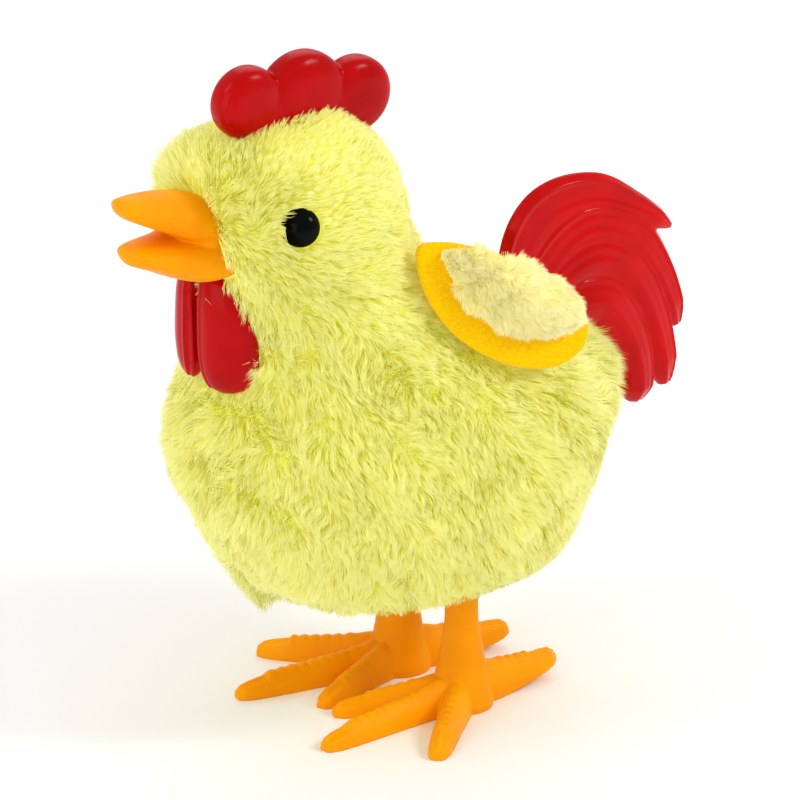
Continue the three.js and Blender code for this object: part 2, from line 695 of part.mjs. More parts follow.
let plateLeft = toSolid(slabX(plateShape(1.3), PLATE_INNER_X, PLATE_OUTER_X));
for (const [y, z] of POSTS) {
  plateLeft = plateLeft.add(toSolid(discX(y, z, 1.6, -PLATE_INNER_X + GAP, PLATE_INNER_X + 0.5, 12)));
  plateLeft = cut(plateLeft, discX(y, z, 0.95, -6, 1.6, 10));
}
addPiece('gearbox_plate_left', plateLeft, plain(colours.plate, 0.4));
let plateRight = toSolid(slabX(plateShape(1.8), -PLATE_OUTER_X, -PLATE_INNER_X));
for (const [y, z] of POSTS) {
  plateRight = cut(plateRight, discX(y, z, 0.95, -8, 0, 10));
}
addPiece('gearbox_plate_right', plateRight, plain(colours.plate, 0.4));
POSTS.forEach(([y, z], i) => {
  const screw = turnedX([
    [-6.5, 0], [-6.5, 1.2], [-5.7, 1.3], [-5.7, 0.65], [0.6, 0.65], [1.2, 0],
  ], 8);
  screw.translate(0, y, z);
  addPiece(`gearbox_screw_${i + 1}`, screw, steel());
});

// Pivot pin through the plates and both legs, held by a push-on washer
const pivot = axisGroup(PIVOT);
addPiece('leg_pivot_pin', turnedX([
  [-10.0, 0], [-10.0, 0.9], [8.9, 0.9], [8.9, 1.9], [9.7, 1.7], [9.7, 0],
], 14), steel(), pivot);
const washer = outline(circlePath(0, 0, 2.2, 16));
washer.holes.push(hole(0, 0, 1.15, 14));
addPiece('leg_pivot_washer', slabX(washer, -9.6, -8.9), steel(), pivot);

// Legs: a yoke on the crank pin, a blade down through the shell, an ankle and four toes
const toe = ({ angle, length, lift, bulk }) => {
  const t = (angle * Math.PI) / 180;
  const along = new THREE.Vector3(Math.sin(t), -Math.cos(t), 0);
  const across = new THREE.Vector3(Math.cos(t), Math.sin(t), 0);
  const nail = length - 4.6;
  const stations = [
    [0, 2.1, 5.4], [4.5, 2.1, 4.6], [7.5, 1.95, 3.7], [(7.5 + nail) / 2, 1.85, 3.3],
    [nail - 0.4, 1.75, 3.0], [nail, 1.5, 2.5], [length - 1.8, 1.3, 2.1], [length - 0.5, 0.8, 1.3],
    [length, 0.35, 0.7],
  ];
  return loft(stations.map(([s, half, height]) => {
    const profile = [
      [-0.85, 0], [0.85, 0], [1, 0.35], [0.86, 0.72], [0.45, 0.97], [-0.45, 0.97],
      [-0.86, 0.72], [-1, 0.35],
    ];
    const rise = lift * Math.max(0, (s - 5) / (length - 5)) ** 1.5;
    return profile.map(([u, v]) => along.clone().multiplyScalar(s)
      .addScaledVector(across, u * half * bulk).setZ(v * height * bulk + rise));
  }));
};
const ankle = new THREE.LatheGeometry([
  [0, 0], [4.4, 0], [4.4, 0.8], [3.7, 3.2], [2.95, 5.4], [2.65, 6.6], [2.95, 6.8], [2.95, 7.5],
  [2.5, 7.9], [2.35, 12.5], [2.4, 19.0], [0, 19.0],
].map(([r, z]) => new THREE.Vector2(r, z)), 14);
ankle.rotateX(Math.PI / 2);
const spur = new THREE.CylinderGeometry(1.9, 1.5, 11, 10);
spur.rotateX(Math.PI / 2);
spur.translate(SPUR_INWARD, SPUR_BACK, 13.5);
const foot = joined(ankle, spur, ...TOES.map(toe));
const yokeOutline = smoothOutline([
  [-6.6, 5.0], [-7.0, 0], [-6.4, -4.9], [-3.0, -6.6], [-2.7, -11.0], [-2.8, -14.4],
  [-2.7, -18.0], [-2.6, -21.0], [2.1, -21.0], [2.2, -18.0], [2.8, -14.4], [2.7, -11.0],
  [3.0, -6.6], [6.4, -4.9], [7.0, 0], [6.6, 5.0], [0, 5.4],
], 40);
yokeOutline.holes.push(new THREE.Path([
  [-5.0, -2.6], [-4.3, -3.3], [4.3, -3.3], [5.0, -2.6], [5.0, 2.6], [4.3, 3.3], [-4.3, 3.3],
  [-5.0, 2.6],
].map(([a, b]) => new THREE.Vector2(a, b))));
yokeOutline.holes.push(hole(0, PIVOT[1] - CRANK[1], 1.25, 16));
const blade = slabX(yokeOutline, LEG_INNER_X, LEG_OUTER_X);
blade.translate(0, CRANK[0], CRANK[1]);
const leg = toSolid(blade).add(foot.translate([FOOT_X, 0, 0]));
addPiece('left_leg', leg, plain(colours.orange, 0.4));
addPiece('right_leg', leg.mirror([1, 0, 0]), plain(colours.orange, 0.4));

export default hen;
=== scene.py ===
"""Looks of a wind-up hopping hen: plush, felt, glossy red and satin orange plastic.

Shapes are laid out in millimetres about the ground point between the feet, as the part is,
and move into the frame's metres when a mesh is made.
"""

import json
import math

import bpy
import bmesh
import numpy as np
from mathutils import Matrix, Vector
from mathutils.bvhtree import BVHTree
from mathutils.kdtree import KDTree


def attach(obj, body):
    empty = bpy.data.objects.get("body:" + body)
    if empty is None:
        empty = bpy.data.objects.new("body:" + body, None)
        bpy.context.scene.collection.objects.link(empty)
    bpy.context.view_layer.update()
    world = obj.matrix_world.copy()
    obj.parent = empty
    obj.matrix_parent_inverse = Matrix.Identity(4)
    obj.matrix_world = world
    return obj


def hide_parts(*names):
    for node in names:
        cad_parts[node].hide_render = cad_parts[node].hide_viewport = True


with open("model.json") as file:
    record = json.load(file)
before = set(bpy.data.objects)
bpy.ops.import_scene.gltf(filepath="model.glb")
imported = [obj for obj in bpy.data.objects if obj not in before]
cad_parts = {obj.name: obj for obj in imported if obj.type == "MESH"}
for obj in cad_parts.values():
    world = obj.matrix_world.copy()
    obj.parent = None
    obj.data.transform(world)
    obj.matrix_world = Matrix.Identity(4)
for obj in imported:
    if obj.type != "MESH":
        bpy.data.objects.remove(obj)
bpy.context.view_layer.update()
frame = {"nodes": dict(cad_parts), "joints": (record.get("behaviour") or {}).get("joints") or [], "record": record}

MM = 0.001
joint_place = {j["name"]: j["pos_m"] for j in frame["joints"]}
LEG_PIVOT_Y = -0.5
SHIFT = np.array([
    (joint_place["left_leg_swing"][0] + joint_place["right_leg_swing"][0]) / 2 / MM,
    joint_place["left_leg_swing"][1] / MM - LEG_PIVOT_Y,
    0.0,
])

# Camera: from the front left and a little above, far away with a long lens
VIEW_AZIMUTH, VIEW_ELEVATION = 56.0, 23.0
VIEW_DISTANCE = 3.0
VIEW_WIDTH = 0.1081
VIEW_TARGET = Vector((-0.00145, 0.00261, 0.0414))
SENSOR = 36.0

# Studio: lamps are name, azimuth, elevation, distance, size and power
FLOOR_SIZE = 6.0
WORLD_STRENGTH = 0.71
LAMPS = [
    ("key", -8, 44, 0.75, 0.30, 0.9),
    ("front", 24, 8, 0.9, 0.70, 2.2),
    ("side", 130, 38, 0.8, 0.22, 2.1),
    ("back", 230, 45, 0.8, 0.60, 1.5),
]

# Plush: roots lie that deep under its outer surface, and each hair has that many stations
ROOT_DEPTH = 2.0
BACKING_THICKNESS = 0.9
PILE_LENGTH = 3.0
STRAND_WIDTH = 0.095
STATIONS = 4
BODY_STRANDS = 240000
BELLY_STRANDS = 9000
WING_STRANDS = 18000
STRANDS_PER_PIECE = 39000

# How far along a hair the colour of the cloth under the pile is taken: painted light, a paler colour than the
# roots' that lifts the shade in the gaps between the hairs
BACKING_PAINTED_LIGHT_SHARE = 0.55
PAD_PAINTED_LIGHT_SHARE = 0.7

# Room that hair leaves: at hard pieces, and round an eye and the knob for its roots and its tips
HAIR_CLEARANCE = 0.14
EYE_BARE = 2.6
EYE_CLEARANCE = 2.45
KNOB_BARE = 4.1
KNOB_CLEARANCE = 4.2
KNOB_HOLE = 3.9

# Body sections: height, centre Y, half length along Y, half width along X
BODY = np.array([
    [19.4, -4.8, 19.6, 15.6],
    [21.5, -5.2, 22.4, 18.2],
    [25, -5.8, 25.6, 20.6],
    [30, -6.4, 28.3, 22.6],
    [36, -6.6, 30.4, 24.0],
    [42, -6.6, 31.0, 24.3],
    [48, -7.3, 29.6, 23.8],
    [54, -9.8, 26.0, 21.6],
    [60, -14.2, 21.4, 19.3],
    [66, -19.4, 17.8, 17.4],
    [72, -22.8, 17.2, 17.2],
    [78, -23.4, 16.6, 16.6],
    [83, -23.4, 14.6, 14.4],
    [87, -23.4, 11.6, 10.9],
    [90, -22.6, 7.2, 6.4],
    [91.6, -22.2, 2.4, 2.2],
])
BODY_BOTTOM, BODY_TOP = BODY[0, 0], BODY[-1, 0]
LEG_WINDOW = (12.2, 9.2, -0.2)
BEAK_BASE = np.array([0.0, -38.0, 77.0])
ARBOR = (-5.25, 47.36)
FOOT_X = 7.6

EYE = np.array([11.9, -29.2, 78.1])
EYE_AXIS = np.array([0.8, -0.56, 0.22]) / np.linalg.norm([0.8, -0.56, 0.22])

WING_FRONT = np.array([15.4, -12.2, 72.2])
WING_ALONG = np.array([6.7, 22.9, -13.9])
WING_ALONG /= np.linalg.norm(WING_ALONG)
WING_UP = np.cross([0.9596, -0.129, 0.25], WING_ALONG)
WING_UP /= np.linalg.norm(WING_UP)
WING_NORMAL = np.cross(WING_ALONG, WING_UP)
FELT_OUTLINE = [
    (-0.6, -0.2), (2.6, -5.0), (8.0, -8.2), (13.8, -9.5), (20.0, -9.2), (24.8, -7.2),
    (27.4, -3.8), (27.2, -0.6), (24.6, 1.8), (19.5, 3.2), (13.0, 3.6), (7.0, 3.2), (2.0, 1.9),
]
PAD_OUTLINE = [
    (2.2, 0.8), (4.6, -1.9), (9.0, -4.4), (13.9, -5.2), (18.0, -4.8), (21.6, -3.4),
    (24.0, -1.2), (24.2, 1.2), (21.6, 3.0), (16.6, 3.6), (11.0, 3.4), (6.0, 2.6),
]


# Colours are given as a picture shows them, 0 to 255, and used as light
def light(*colour):
    def channel(c):
        c /= 255
        return c / 12.92 if c <= 0.04045 else ((c + 0.055) / 1.055) ** 2.4
    return (*(channel(c) for c in colour), 1.0)


# Meshes
def to_frame(points):
    return (np.asarray(points, float) + SHIFT) * MM


def mesh_object(name, points, faces):
    mesh = bpy.data.meshes.new(name)
    mesh.from_pydata([tuple(p) for p in to_frame(points)], [], [tuple(f) for f in faces])
    mesh.validate()
    mesh.update()
    piece = bpy.data.objects.new(name, mesh)
    bpy.context.scene.collection.objects.link(piece)
    mesh.shade_smooth()
    return piece


def loft(rings):
    """Points and faces of a closed body through rings of equal point counts."""
    n = len(rings[0])
    points = [p for ring in rings for p in ring]
    faces = []
    for r in range(len(rings) - 1):
        for i in range(n):
            j = (i + 1) % n
            faces.append((r * n + i, r * n + j, (r + 1) * n + j, (r + 1) * n + i))
    faces.append(tuple(reversed(range(n))))
    last = (len(rings) - 1) * n
    faces.append(tuple(last + i for i in range(n)))
    return points, faces


def turns(count, shift=0.0):
    """Angles spread evenly round a full turn."""
    return 2 * np.pi * (np.arange(count) + shift) / count


def puff(value, power):
    """A cosine or sine made squarer (a power under 1), with its sign kept."""
    return math.copysign(abs(value) ** power, value)


def together(*bodies):
    points, faces = [], []
    for body_points, body_faces in bodies:
        start = len(points)
        points.extend(body_points)
        faces.extend([tuple(i + start for i in f) for f in body_faces])
    return points, faces


def outward(piece):
    bm = bmesh.new()
    bm.from_mesh(piece.data)
    bmesh.ops.recalc_face_normals(bm, faces=bm.faces)
    bm.to_mesh(piece.data)
    bm.free()


def apply_modifiers(piece):
    bpy.context.view_layer.update()
    graph = bpy.context.evaluated_depsgraph_get()
    mesh = bpy.data.meshes.new_from_object(piece.evaluated_get(graph))
    piece.modifiers.clear()
    piece.data = mesh
    mesh.shade_smooth()


def moulded(name, bodies, voxel, smoothing):
    """One moulded piece from overlapping closed bodies; voxel is in millimetres."""
    points, faces = together(*bodies)
    piece = mesh_object(name, points, faces)
    outward(piece)
    remesh = piece.modifiers.new("join", "REMESH")
    remesh.mode = "VOXEL"
    remesh.voxel_size = voxel * MM
    soften = piece.modifiers.new("soften", "SMOOTH")
    soften.factor = 0.5
    soften.iterations = smoothing
    apply_modifiers(piece)
    return piece


def ellipsoid(centre, radii, rings=20, around=32):
    sections = []
    for r in range(1, rings):
        phi = math.pi * r / rings
        ring = []
        for t in turns(around):
            ring.append((
                centre[0] + radii[0] * math.sin(phi) * math.cos(t),
                centre[1] + radii[1] * math.sin(phi) * math.sin(t),
                centre[2] - radii[2] * math.cos(phi),
            ))
        sections.append(ring)
    return loft(sections)


def box_body(low, high):
    x0, y0, z0 = low
    x1, y1, z1 = high
    ring = [(x0, y0), (x1, y0), (x1, y1), (x0, y1)]
    return loft([[(x, y, z) for x, y in ring] for z in (z0, z1)])


def between(p0, p1, p2, p3, t):
    return 0.5 * (2 * p1 + (p2 - p0) * t + (2 * p0 - 5 * p1 + 4 * p2 - p3) * t ** 2
                  + (3 * p1 - p0 - 3 * p2 + p3) * t ** 3)


def spline(stations, count):
    """Smooth rows through the given rows, evenly spread in their own index."""
    table = np.asarray(stations, float)
    n = len(table)
    padded = np.vstack([2 * table[0] - table[1], table, 2 * table[-1] - table[-2]])
    out = []
    for u in np.linspace(0, n - 1, count):
        i = min(int(u), n - 2)
        out.append(between(*padded[i:i + 4], u - i))
    return np.array(out)


def closed_spline(points, count):
    table = np.asarray(points, float)
    n = len(table)
    out = []
    for u in np.linspace(0, n, count, endpoint=False):
        i = int(u)
        out.append(between(*(table[(i + k) % n] for k in (-1, 0, 1, 2)), u - i))
    return np.array(out)


def tube(path, radii, around=10):
    """A closed round body along a path of points."""
    path = np.asarray(path, float)
    rings = []
    for k, centre in enumerate(path):
        ahead = path[min(k + 1, len(path) - 1)] - path[max(k - 1, 0)]
        ahead /= np.linalg.norm(ahead)
        side = np.cross(ahead, (0.3, 0.9, 0.1))
        side /= np.linalg.norm(side)
        up = np.cross(side, ahead)
        angles = turns(around)
        rings.append([centre + radii[k] * (math.cos(a) * side + math.sin(a) * up) for a in angles])
    return loft(rings)


# Materials
def new_material(name, **constants):
    """A material with constants on its shader's own sockets."""
    mat = bpy.data.materials.new(name)
    mat.use_nodes = True
    shader = mat.node_tree.nodes["Principled BSDF"]
    for socket, value in constants.items():
        shader.inputs[socket.replace("_", " ")].default_value = value
    return mat, mat.node_tree, shader


def place(tree):
    return tree.nodes.new("ShaderNodeTexCoord").outputs["Object"]


def noise(tree, scale, detail=3.0, roughness=0.55, stretch=None):
    node = tree.nodes.new("ShaderNodeTexNoise")
    node.inputs["Scale"].default_value = scale
    node.inputs["Detail"].default_value = detail
    node.inputs["Roughness"].default_value = roughness
    where = place(tree)
    if stretch:
        mapping = tree.nodes.new("ShaderNodeMapping")
        mapping.inputs["Scale"].default_value = stretch
        tree.links.new(where, mapping.inputs["Vector"])
        where = mapping.outputs["Vector"]
    tree.links.new(where, node.inputs["Vector"])
    return node.outputs["Fac"]


def ramp(tree, factor, stops):
    stops = [(position, light(*colour)) for position, colour in stops]
    node = tree.nodes.new("ShaderNodeValToRGB")
    elements = node.color_ramp.elements
    elements[0].position, elements[0].color = stops[0]
    elements[1].position, elements[1].color = stops[-1]
    for position, colour in stops[1:-1]:
        elements.new(position).color = colour
    tree.links.new(factor, node.inputs["Fac"])
    return node.outputs["Color"]


def mix(tree, factor, a, b):
    node = tree.nodes.new("ShaderNodeMix")
    node.data_type = "RGBA"
    for socket, value in ((0, factor), (6, a), (7, b)):
        if isinstance(value, bpy.types.NodeSocket):
            tree.links.new(value, node.inputs[socket])
        else:
            node.inputs[socket].default_value = value
    return node.outputs[2]


def spread(tree, value, low, high):
    node = tree.nodes.new("ShaderNodeMapRange")
    node.inputs["From Min"].default_value = 0.3
    node.inputs["From Max"].default_value = 0.7
    node.inputs["To Min"].default_value = low
    node.inputs["To Max"].default_value = high
    tree.links.new(value, node.inputs["Value"])
    return node.outputs["Result"]


def bump(tree, shader, height, distance_mm, strength=1.0):
    node = tree.nodes.new("ShaderNodeBump")
    node.inputs["Strength"].default_value = strength
    node.inputs["Distance"].default_value = distance_mm * MM
    tree.links.new(height, node.inputs["Height"])
    tree.links.new(node.outputs["Normal"], shader.inputs["Normal"])


def fur_material(name, root, middle, tip, warm, glow, glow_strength):
    """Colour runs along each hair and shifts from tuft to tuft.

    The faint glow stands for the light that thin fibres pass on to each other.
    """
    mat, tree, shader = new_material(
        name, Roughness=0.75, Sheen_Weight=0.25, Sheen_Roughness=0.5, Specular_IOR_Level=0.12,
        Emission_Color=light(*glow), Emission_Strength=glow_strength)
    hair = tree.nodes.new("ShaderNodeAttribute")
    hair.attribute_name = "hair"
    parts = tree.nodes.new("ShaderNodeSeparateColor")
    tree.links.new(hair.outputs["Color"], parts.inputs["Color"])
    along = ramp(tree, parts.outputs["Red"], [(0.0, root), (0.45, middle), (1.0, tip)])
    tufts = noise(tree, 260.0, 2.0)
    varied = mix(tree, spread(tree, tufts, 0.0, 0.35), along, light(*warm))
    pale = mix(tree, parts.outputs["Green"], varied, light(*tip))
    tree.links.new(pale, shader.inputs["Base Color"])
    return mat


def plastic_material(name, dark, base, pale, roughness, **constants):
    mat, tree, shader = new_material(name, **constants)
    clouds = noise(tree, 110.0, 3.0)
    tree.links.new(ramp(tree, clouds, [(0.3, dark), (0.5, base), (0.72, pale)]),
                   shader.inputs["Base Color"])
    tree.links.new(spread(tree, noise(tree, 420.0), roughness * 0.8, roughness * 1.25),
                   shader.inputs["Roughness"])
    bump(tree, shader, noise(tree, 300.0, 2.0), 0.12, 0.35)
    return mat


def felt_material():
    mat, tree, shader = new_material(
        "felt", Roughness=0.95, Sheen_Weight=0.06, Sheen_Roughness=0.5, Specular_IOR_Level=0.05)
    fibres = noise(tree, 4200.0, 4.0, 0.7, (1.0, 0.35, 1.0))
    colour = ramp(tree, fibres, [(0.3, (238, 179, 0)), (0.5, (250, 195, 0)), (0.7, (255, 207, 8))])
    tree.links.new(colour, shader.inputs["Base Color"])
    bump(tree, shader, fibres, 0.06, 0.5)
    return mat


def metal_material(name, dark, pale, roughness):
    mat, tree, shader = new_material(name, Metallic=1.0)
    lines = noise(tree, 900.0, 3.0, 0.6, (0.15, 1.0, 1.0))
    tree.links.new(ramp(tree, lines, [(0.35, dark), (0.65, pale)]), shader.inputs["Base Color"])
    tree.links.new(spread(tree, lines, roughness * 0.7, roughness * 1.4), shader.inputs["Roughness"])
    return mat


# Painted light and shade: the red plastic comes in two copies, a darker one for the comb and the wattle (painted
# shade) and a lighter one for the tail (painted light)
RED = plastic_material("red_plastic", (166, 0, 1), (180, 0, 3), (188, 1, 6), 0.2,
                       Specular_IOR_Level=0.11)
TAIL_RED_LIT_COPY = plastic_material("tail_red_plastic_lit_copy", (184, 0, 1), (199, 0, 2), (209, 1, 4), 0.15,
                            Specular_IOR_Level=0.14)
ORANGE = plastic_material("orange_plastic", (242, 146, 0), (248, 157, 0), (252, 166, 0), 0.45,
                          Specular_IOR_Level=0.08, Subsurface_Weight=0.12,
                          Subsurface_Radius=(0.003, 0.0012, 0.0002))
SHELL = plastic_material("shell_plastic", (222, 214, 186), (232, 226, 198), (240, 235, 212), 0.5)
PLATE = plastic_material("plate_plastic", (205, 205, 198), (216, 216, 208), (226, 226, 220), 0.45)
NYLON = plastic_material("gear_nylon", (222, 216, 198), (233, 228, 212), (240, 236, 224), 0.4)
KNOB = plastic_material("knob_plastic", (234, 232, 226), (243, 242, 237), (250, 249, 246), 0.3,
                        Coat_Weight=0.2)
EYE_BLACK = plastic_material("eye_black", (2, 3, 3), (4, 5, 5), (8, 9, 10), 0.1,
                             Specular_IOR_Level=0.07)
STEEL = metal_material("drawn_steel", (168, 170, 172), (206, 208, 210), 0.3)
SPRING = metal_material("spring_steel", (112, 118, 128), (160, 164, 170), 0.35)
FELT = felt_material()
PLUSH = fur_material("plush", (236, 236, 30), (246, 245, 96), (253, 251, 184), (250, 240, 96),
                     (214, 212, 30), 0.15)
WING_PLUSH = fur_material("wing_plush", (244, 232, 96), (249, 240, 154), (252, 247, 206),
                          (251, 236, 158), (214, 202, 74), 0.2)


def finish_piece(piece, material, body, slot, *nodes):
    piece.data.materials.clear()
    piece.data.materials.append(material)
    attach(piece, body)
    if nodes:
        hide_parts(*nodes)
    return piece


# Camera, light and floor
def stand(thing, azimuth, elevation, distance):
    """Puts a camera or a lamp round the target, aimed at it."""
    azimuth, elevation = math.radians(azimuth), math.radians(elevation)
    toward = Vector((math.sin(azimuth) * math.cos(elevation),
                     -math.cos(azimuth) * math.cos(elevation), math.sin(elevation)))
    thing.location = VIEW_TARGET + toward * distance
    thing.rotation_mode = "QUATERNION"
    thing.rotation_quaternion = (-toward).to_track_quat("-Z", "Y")
    bpy.context.scene.collection.objects.link(thing)


def make_stage():
    camera = bpy.data.objects.new("camera", bpy.data.cameras.new("camera"))
    camera.data.sensor_width = SENSOR
    camera.data.lens = SENSOR / VIEW_WIDTH * VIEW_DISTANCE
    camera.data.clip_end = 20.0
    stand(camera, VIEW_AZIMUTH, VIEW_ELEVATION, VIEW_DISTANCE)
    bpy.context.scene.camera = camera

    bpy.ops.mesh.primitive_plane_add(size=FLOOR_SIZE, location=(0, 0, 0))
    floor = bpy.context.object
    floor.name = "floor"
    mat, tree, shader = new_material("floor", Roughness=0.9, Specular_IOR_Level=0.1)
    whites = [(0.3, (249.3, 249.3, 250.5)), (0.7, (251.6, 251.6, 252.7))]
    tree.links.new(ramp(tree, noise(tree, 9.0), whites), shader.inputs["Base Color"])
    floor.data.materials.append(mat)

    world = bpy.data.worlds.new("studio")
    world.use_nodes = True
    world.node_tree.nodes["Background"].inputs["Color"].default_value = (1.0, 1.0, 1.0, 1.0)
    world.node_tree.nodes["Background"].inputs["Strength"].default_value = WORLD_STRENGTH
    bpy.context.scene.world = world
    for name, azimuth, elevation, distance, size, power in LAMPS:
        lamp = bpy.data.objects.new(name, bpy.data.lights.new(name, "AREA"))
        lamp.data.energy = power
        lamp.data.size = size
        stand(lamp, azimuth, elevation, distance)
    bpy.context.scene.view_settings.view_transform = "Standard"


# Comb: three fat lobes on a tab
def pillow(centre, radii, square=3.0, layers=26, around=48):
    """A fat disc across X with rounded rims: radii are (half thickness, Y, Z)."""
    rings = []
    for k in range(1, layers):
        x = -math.cos(math.pi * k / layers)
        share = (1 - abs(x) ** square) ** (1 / square)
        rings.append([(centre[0] + radii[0] * x, centre[1] + radii[1] * share * math.cos(t),
                       centre[2] + radii[2] * share * math.sin(t))
                      for t in turns(around)])
    return loft(rings)


def make_comb():
    lobes = [
        ((0, -29.7, 92.2), (2.7, 5.1, 5.1)),
        ((0, -20.9, 91.0), (2.9, 6.6, 6.6)),
        ((0, -12.5, 89.6), (2.7, 5.4, 5.4)),
        ((0, -25.2, 89.6), (2.55, 6.4, 4.6)),
        ((0, -16.6, 88.6), (2.6, 6.4, 4.6)),
    ]
    bodies = [pillow(centre, radii) for centre, radii in lobes]
    bodies.append(box_body((-1.3, -28, 81), (1.3, -15, 90)))
    comb = moulded("comb_lobes", bodies, 0.22, 6)
    # The comb takes the darker copy of the red plastic, painted shade
    return finish_piece(comb, RED, "body", "red_plastic", "comb")


# Tail: four drooping feathers, each nearer one thicker, with raised ribs
FEATHERS = [
    [(16.6, 50.5, 2.6), (15.0, 58.0, 4.0), (18.6, 64.0, 5.0), (26.0, 65.2, 4.0),
     (33.0, 62.4, 2.4), (39.2, 58.4, 1.1)],
    [(17.4, 50.5, 2.6), (19.0, 57.0, 4.0), (25.0, 61.0, 4.2), (32.0, 58.4, 3.8),
     (36.8, 52.2, 2.8), (40.2, 43.8, 1.8)],
    [(18.6, 50.5, 2.6), (21.0, 55.0, 3.8), (26.6, 56.8, 4.1), (32.2, 53.2, 3.5),
     (36.0, 45.6, 2.8), (38.2, 35.6, 2.2)],
    [(19.6, 49.6, 2.8), (23.0, 51.2, 3.8), (27.6, 50.4, 4.0), (31.0, 45.8, 3.5),
     (33.0, 40.2, 2.8), (33.2, 34.2, 2.4)],
]


# Ribs: height, place across the half width, and width
RIBS = [(0.42, -0.1, 0.11), (0.7, 0.8, 0.09)]


def feather(stations, thickness, across=28, steps=56):
    """A flat blade through (Y, Z, half width), with two ribs along each face."""
    rows = spline(stations, steps)
    rings = []
    for k, (y, z, half) in enumerate(rows):
        before, after = rows[max(k - 1, 0)], rows[min(k + 1, steps - 1)]
        ahead = (after - before)[:2]
        ahead /= np.linalg.norm(ahead)
        side = np.array([-ahead[1], ahead[0]])
        end = min(1.0, (steps - 1 - k) / 5.0 + 0.15)
        half = half * math.sqrt(end)
        depth = thickness * end ** 0.5
        ring = []
        for t in turns(across):
            u, v = math.cos(t), math.sin(t)
            rib = sum(h * math.exp(-((u - at) / w) ** 2) for h, at, w in RIBS)
            flat = puff(v, 0.9)
            ring.append((flat * (depth + rib * min(1.0, depth)),
                         y + side[0] * half * u, z + side[1] * half * u))
        rings.append(ring)
    return loft(rings)


def make_tail():
    bodies = []
    for k, stations in enumerate(FEATHERS):
        bodies.append(feather(stations, 1.2 + 0.5 * k))
    bodies.append(box_body((-1.6, 14, 47.5), (1.6, 23, 54.5)))
    tail = moulded("tail_feathers", bodies, 0.15, 1)
    # The tail takes the lighter copy of the red plastic, painted light
    return finish_piece(tail, TAIL_RED_LIT_COPY, "body", "red_plastic", "tail")


# Beak: two bills, open, on a round peg
UPPER_BILL = [
    (-35.5, 73.4, 79.6, 5.3), (-37.5, 73.8, 80.6, 5.6), (-39.6, 74.8, 81.5, 5.6),
    (-43.0, 76.6, 82.3, 4.9), (-46.4, 78.3, 82.7, 3.8), (-49.2, 79.8, 82.8, 2.6),
    (-50.7, 80.9, 82.7, 1.5),
]
LOWER_BILL = [
    (-35.5, 69.0, 75.2, 7.0), (-37.5, 68.8, 75.6, 7.2), (-39.6, 69.0, 75.7, 6.9),
    (-42.6, 70.1, 75.6, 5.3), (-46.0, 71.8, 75.6, 3.9), (-48.4, 72.9, 75.6, 2.6),
    (-49.7, 73.8, 75.4, 1.5),
]


def bill(stations, ridge, across=36, steps=44):
    """A bill through (Y, low Z, high Z, half width), narrower on its ridge side."""
    rings = []
    for k, (y, low, high, half) in enumerate(spline(stations, steps)):
        end = math.sqrt(min(1.0, (steps - 1 - k) / 4.0 + 0.1))
        centre, tall = (low + high) / 2, (high - low) / 2 * end
        ring = []
        for t in turns(across, 0.5):
            c, s = math.cos(t), math.sin(t)
            narrow = 1.0 - 0.42 * max(0.0, ridge * s) ** 1.6
            ring.append((half * end * narrow * puff(c, 0.85), y,
                         centre + tall * puff(s, 0.8)))
        rings.append(ring)
    return loft(rings)


def make_beak():
    hinge = ellipsoid((0, -37.6, 75.2), (5.6, 3.2, 4.4))
    peg = tube([(0, y, 75) for y in (-38, -36, -32, -30)], [2.4] * 4, 20)
    beak = moulded("beak_bills", [bill(UPPER_BILL, 1), bill(LOWER_BILL, -1), hinge, peg], 0.2, 3)
    return finish_piece(beak, ORANGE, "body", "orange_plastic", "beak")


# Wattle: two lobes with raised lines, on a flat tab
WATTLE_Y = -36.6
WATTLE_ROWS = [
    (69.6, 2.6, 1.5, 1.1), (68.6, 3.1, 2.2, 1.5), (66.4, 3.6, 2.9, 2.1), (63.0, 4.0, 3.6, 2.4),
    (59.0, 4.2, 3.9, 2.6), (55.8, 4.2, 3.6, 2.4), (53.9, 4.1, 2.6, 1.8), (53.0, 4.0, 1.2, 0.9),
]


def wattle_lobe(side, across=40, steps=40):
    rings = []
    for z, centre, half, depth in spline(WATTLE_ROWS, steps):
        ring = []
        for t in turns(across):
            x = centre + half * math.cos(t)
            bend = 0.045 * x * x - 0.05 * (z - 60)
            ring.append((side * x, WATTLE_Y + bend + depth * math.sin(t), z))
        rings.append(ring)
    return loft(rings)


def wattle_line(side, share, radius):
    """A raised line down the front of a lobe, at a share of its half width from its middle."""
    path = []
    for z, centre, half, depth in spline(WATTLE_ROWS, 30)[2:-3]:
        x = centre + half * share
        bend = 0.045 * x * x - 0.05 * (z - 60)
        front = depth * math.sqrt(max(0.0, 1 - share ** 2))
        path.append((side * x, WATTLE_Y + bend - front, z))
    return tube(path, [radius] * len(path), 8)


def make_wattle():
    bodies = [box_body((-3, -36.0, 62), (3, -30, 65))]
    for side in (1, -1):
        bodies.append(wattle_lobe(side))
        bodies.append(wattle_line(side, -0.86, 0.34))
        bodies.append(wattle_line(side, -0.58, 0.26))
    wattle = moulded("wattle_lobes", bodies, 0.18, 2)
    # The wattle takes the darker copy of the red plastic, painted shade
    return finish_piece(wattle, RED, "body", "red_plastic", "wattle")


# Eyes: smooth domes on a shank
EYE_RADIUS, EYE_DOME = 2.9, 2.25


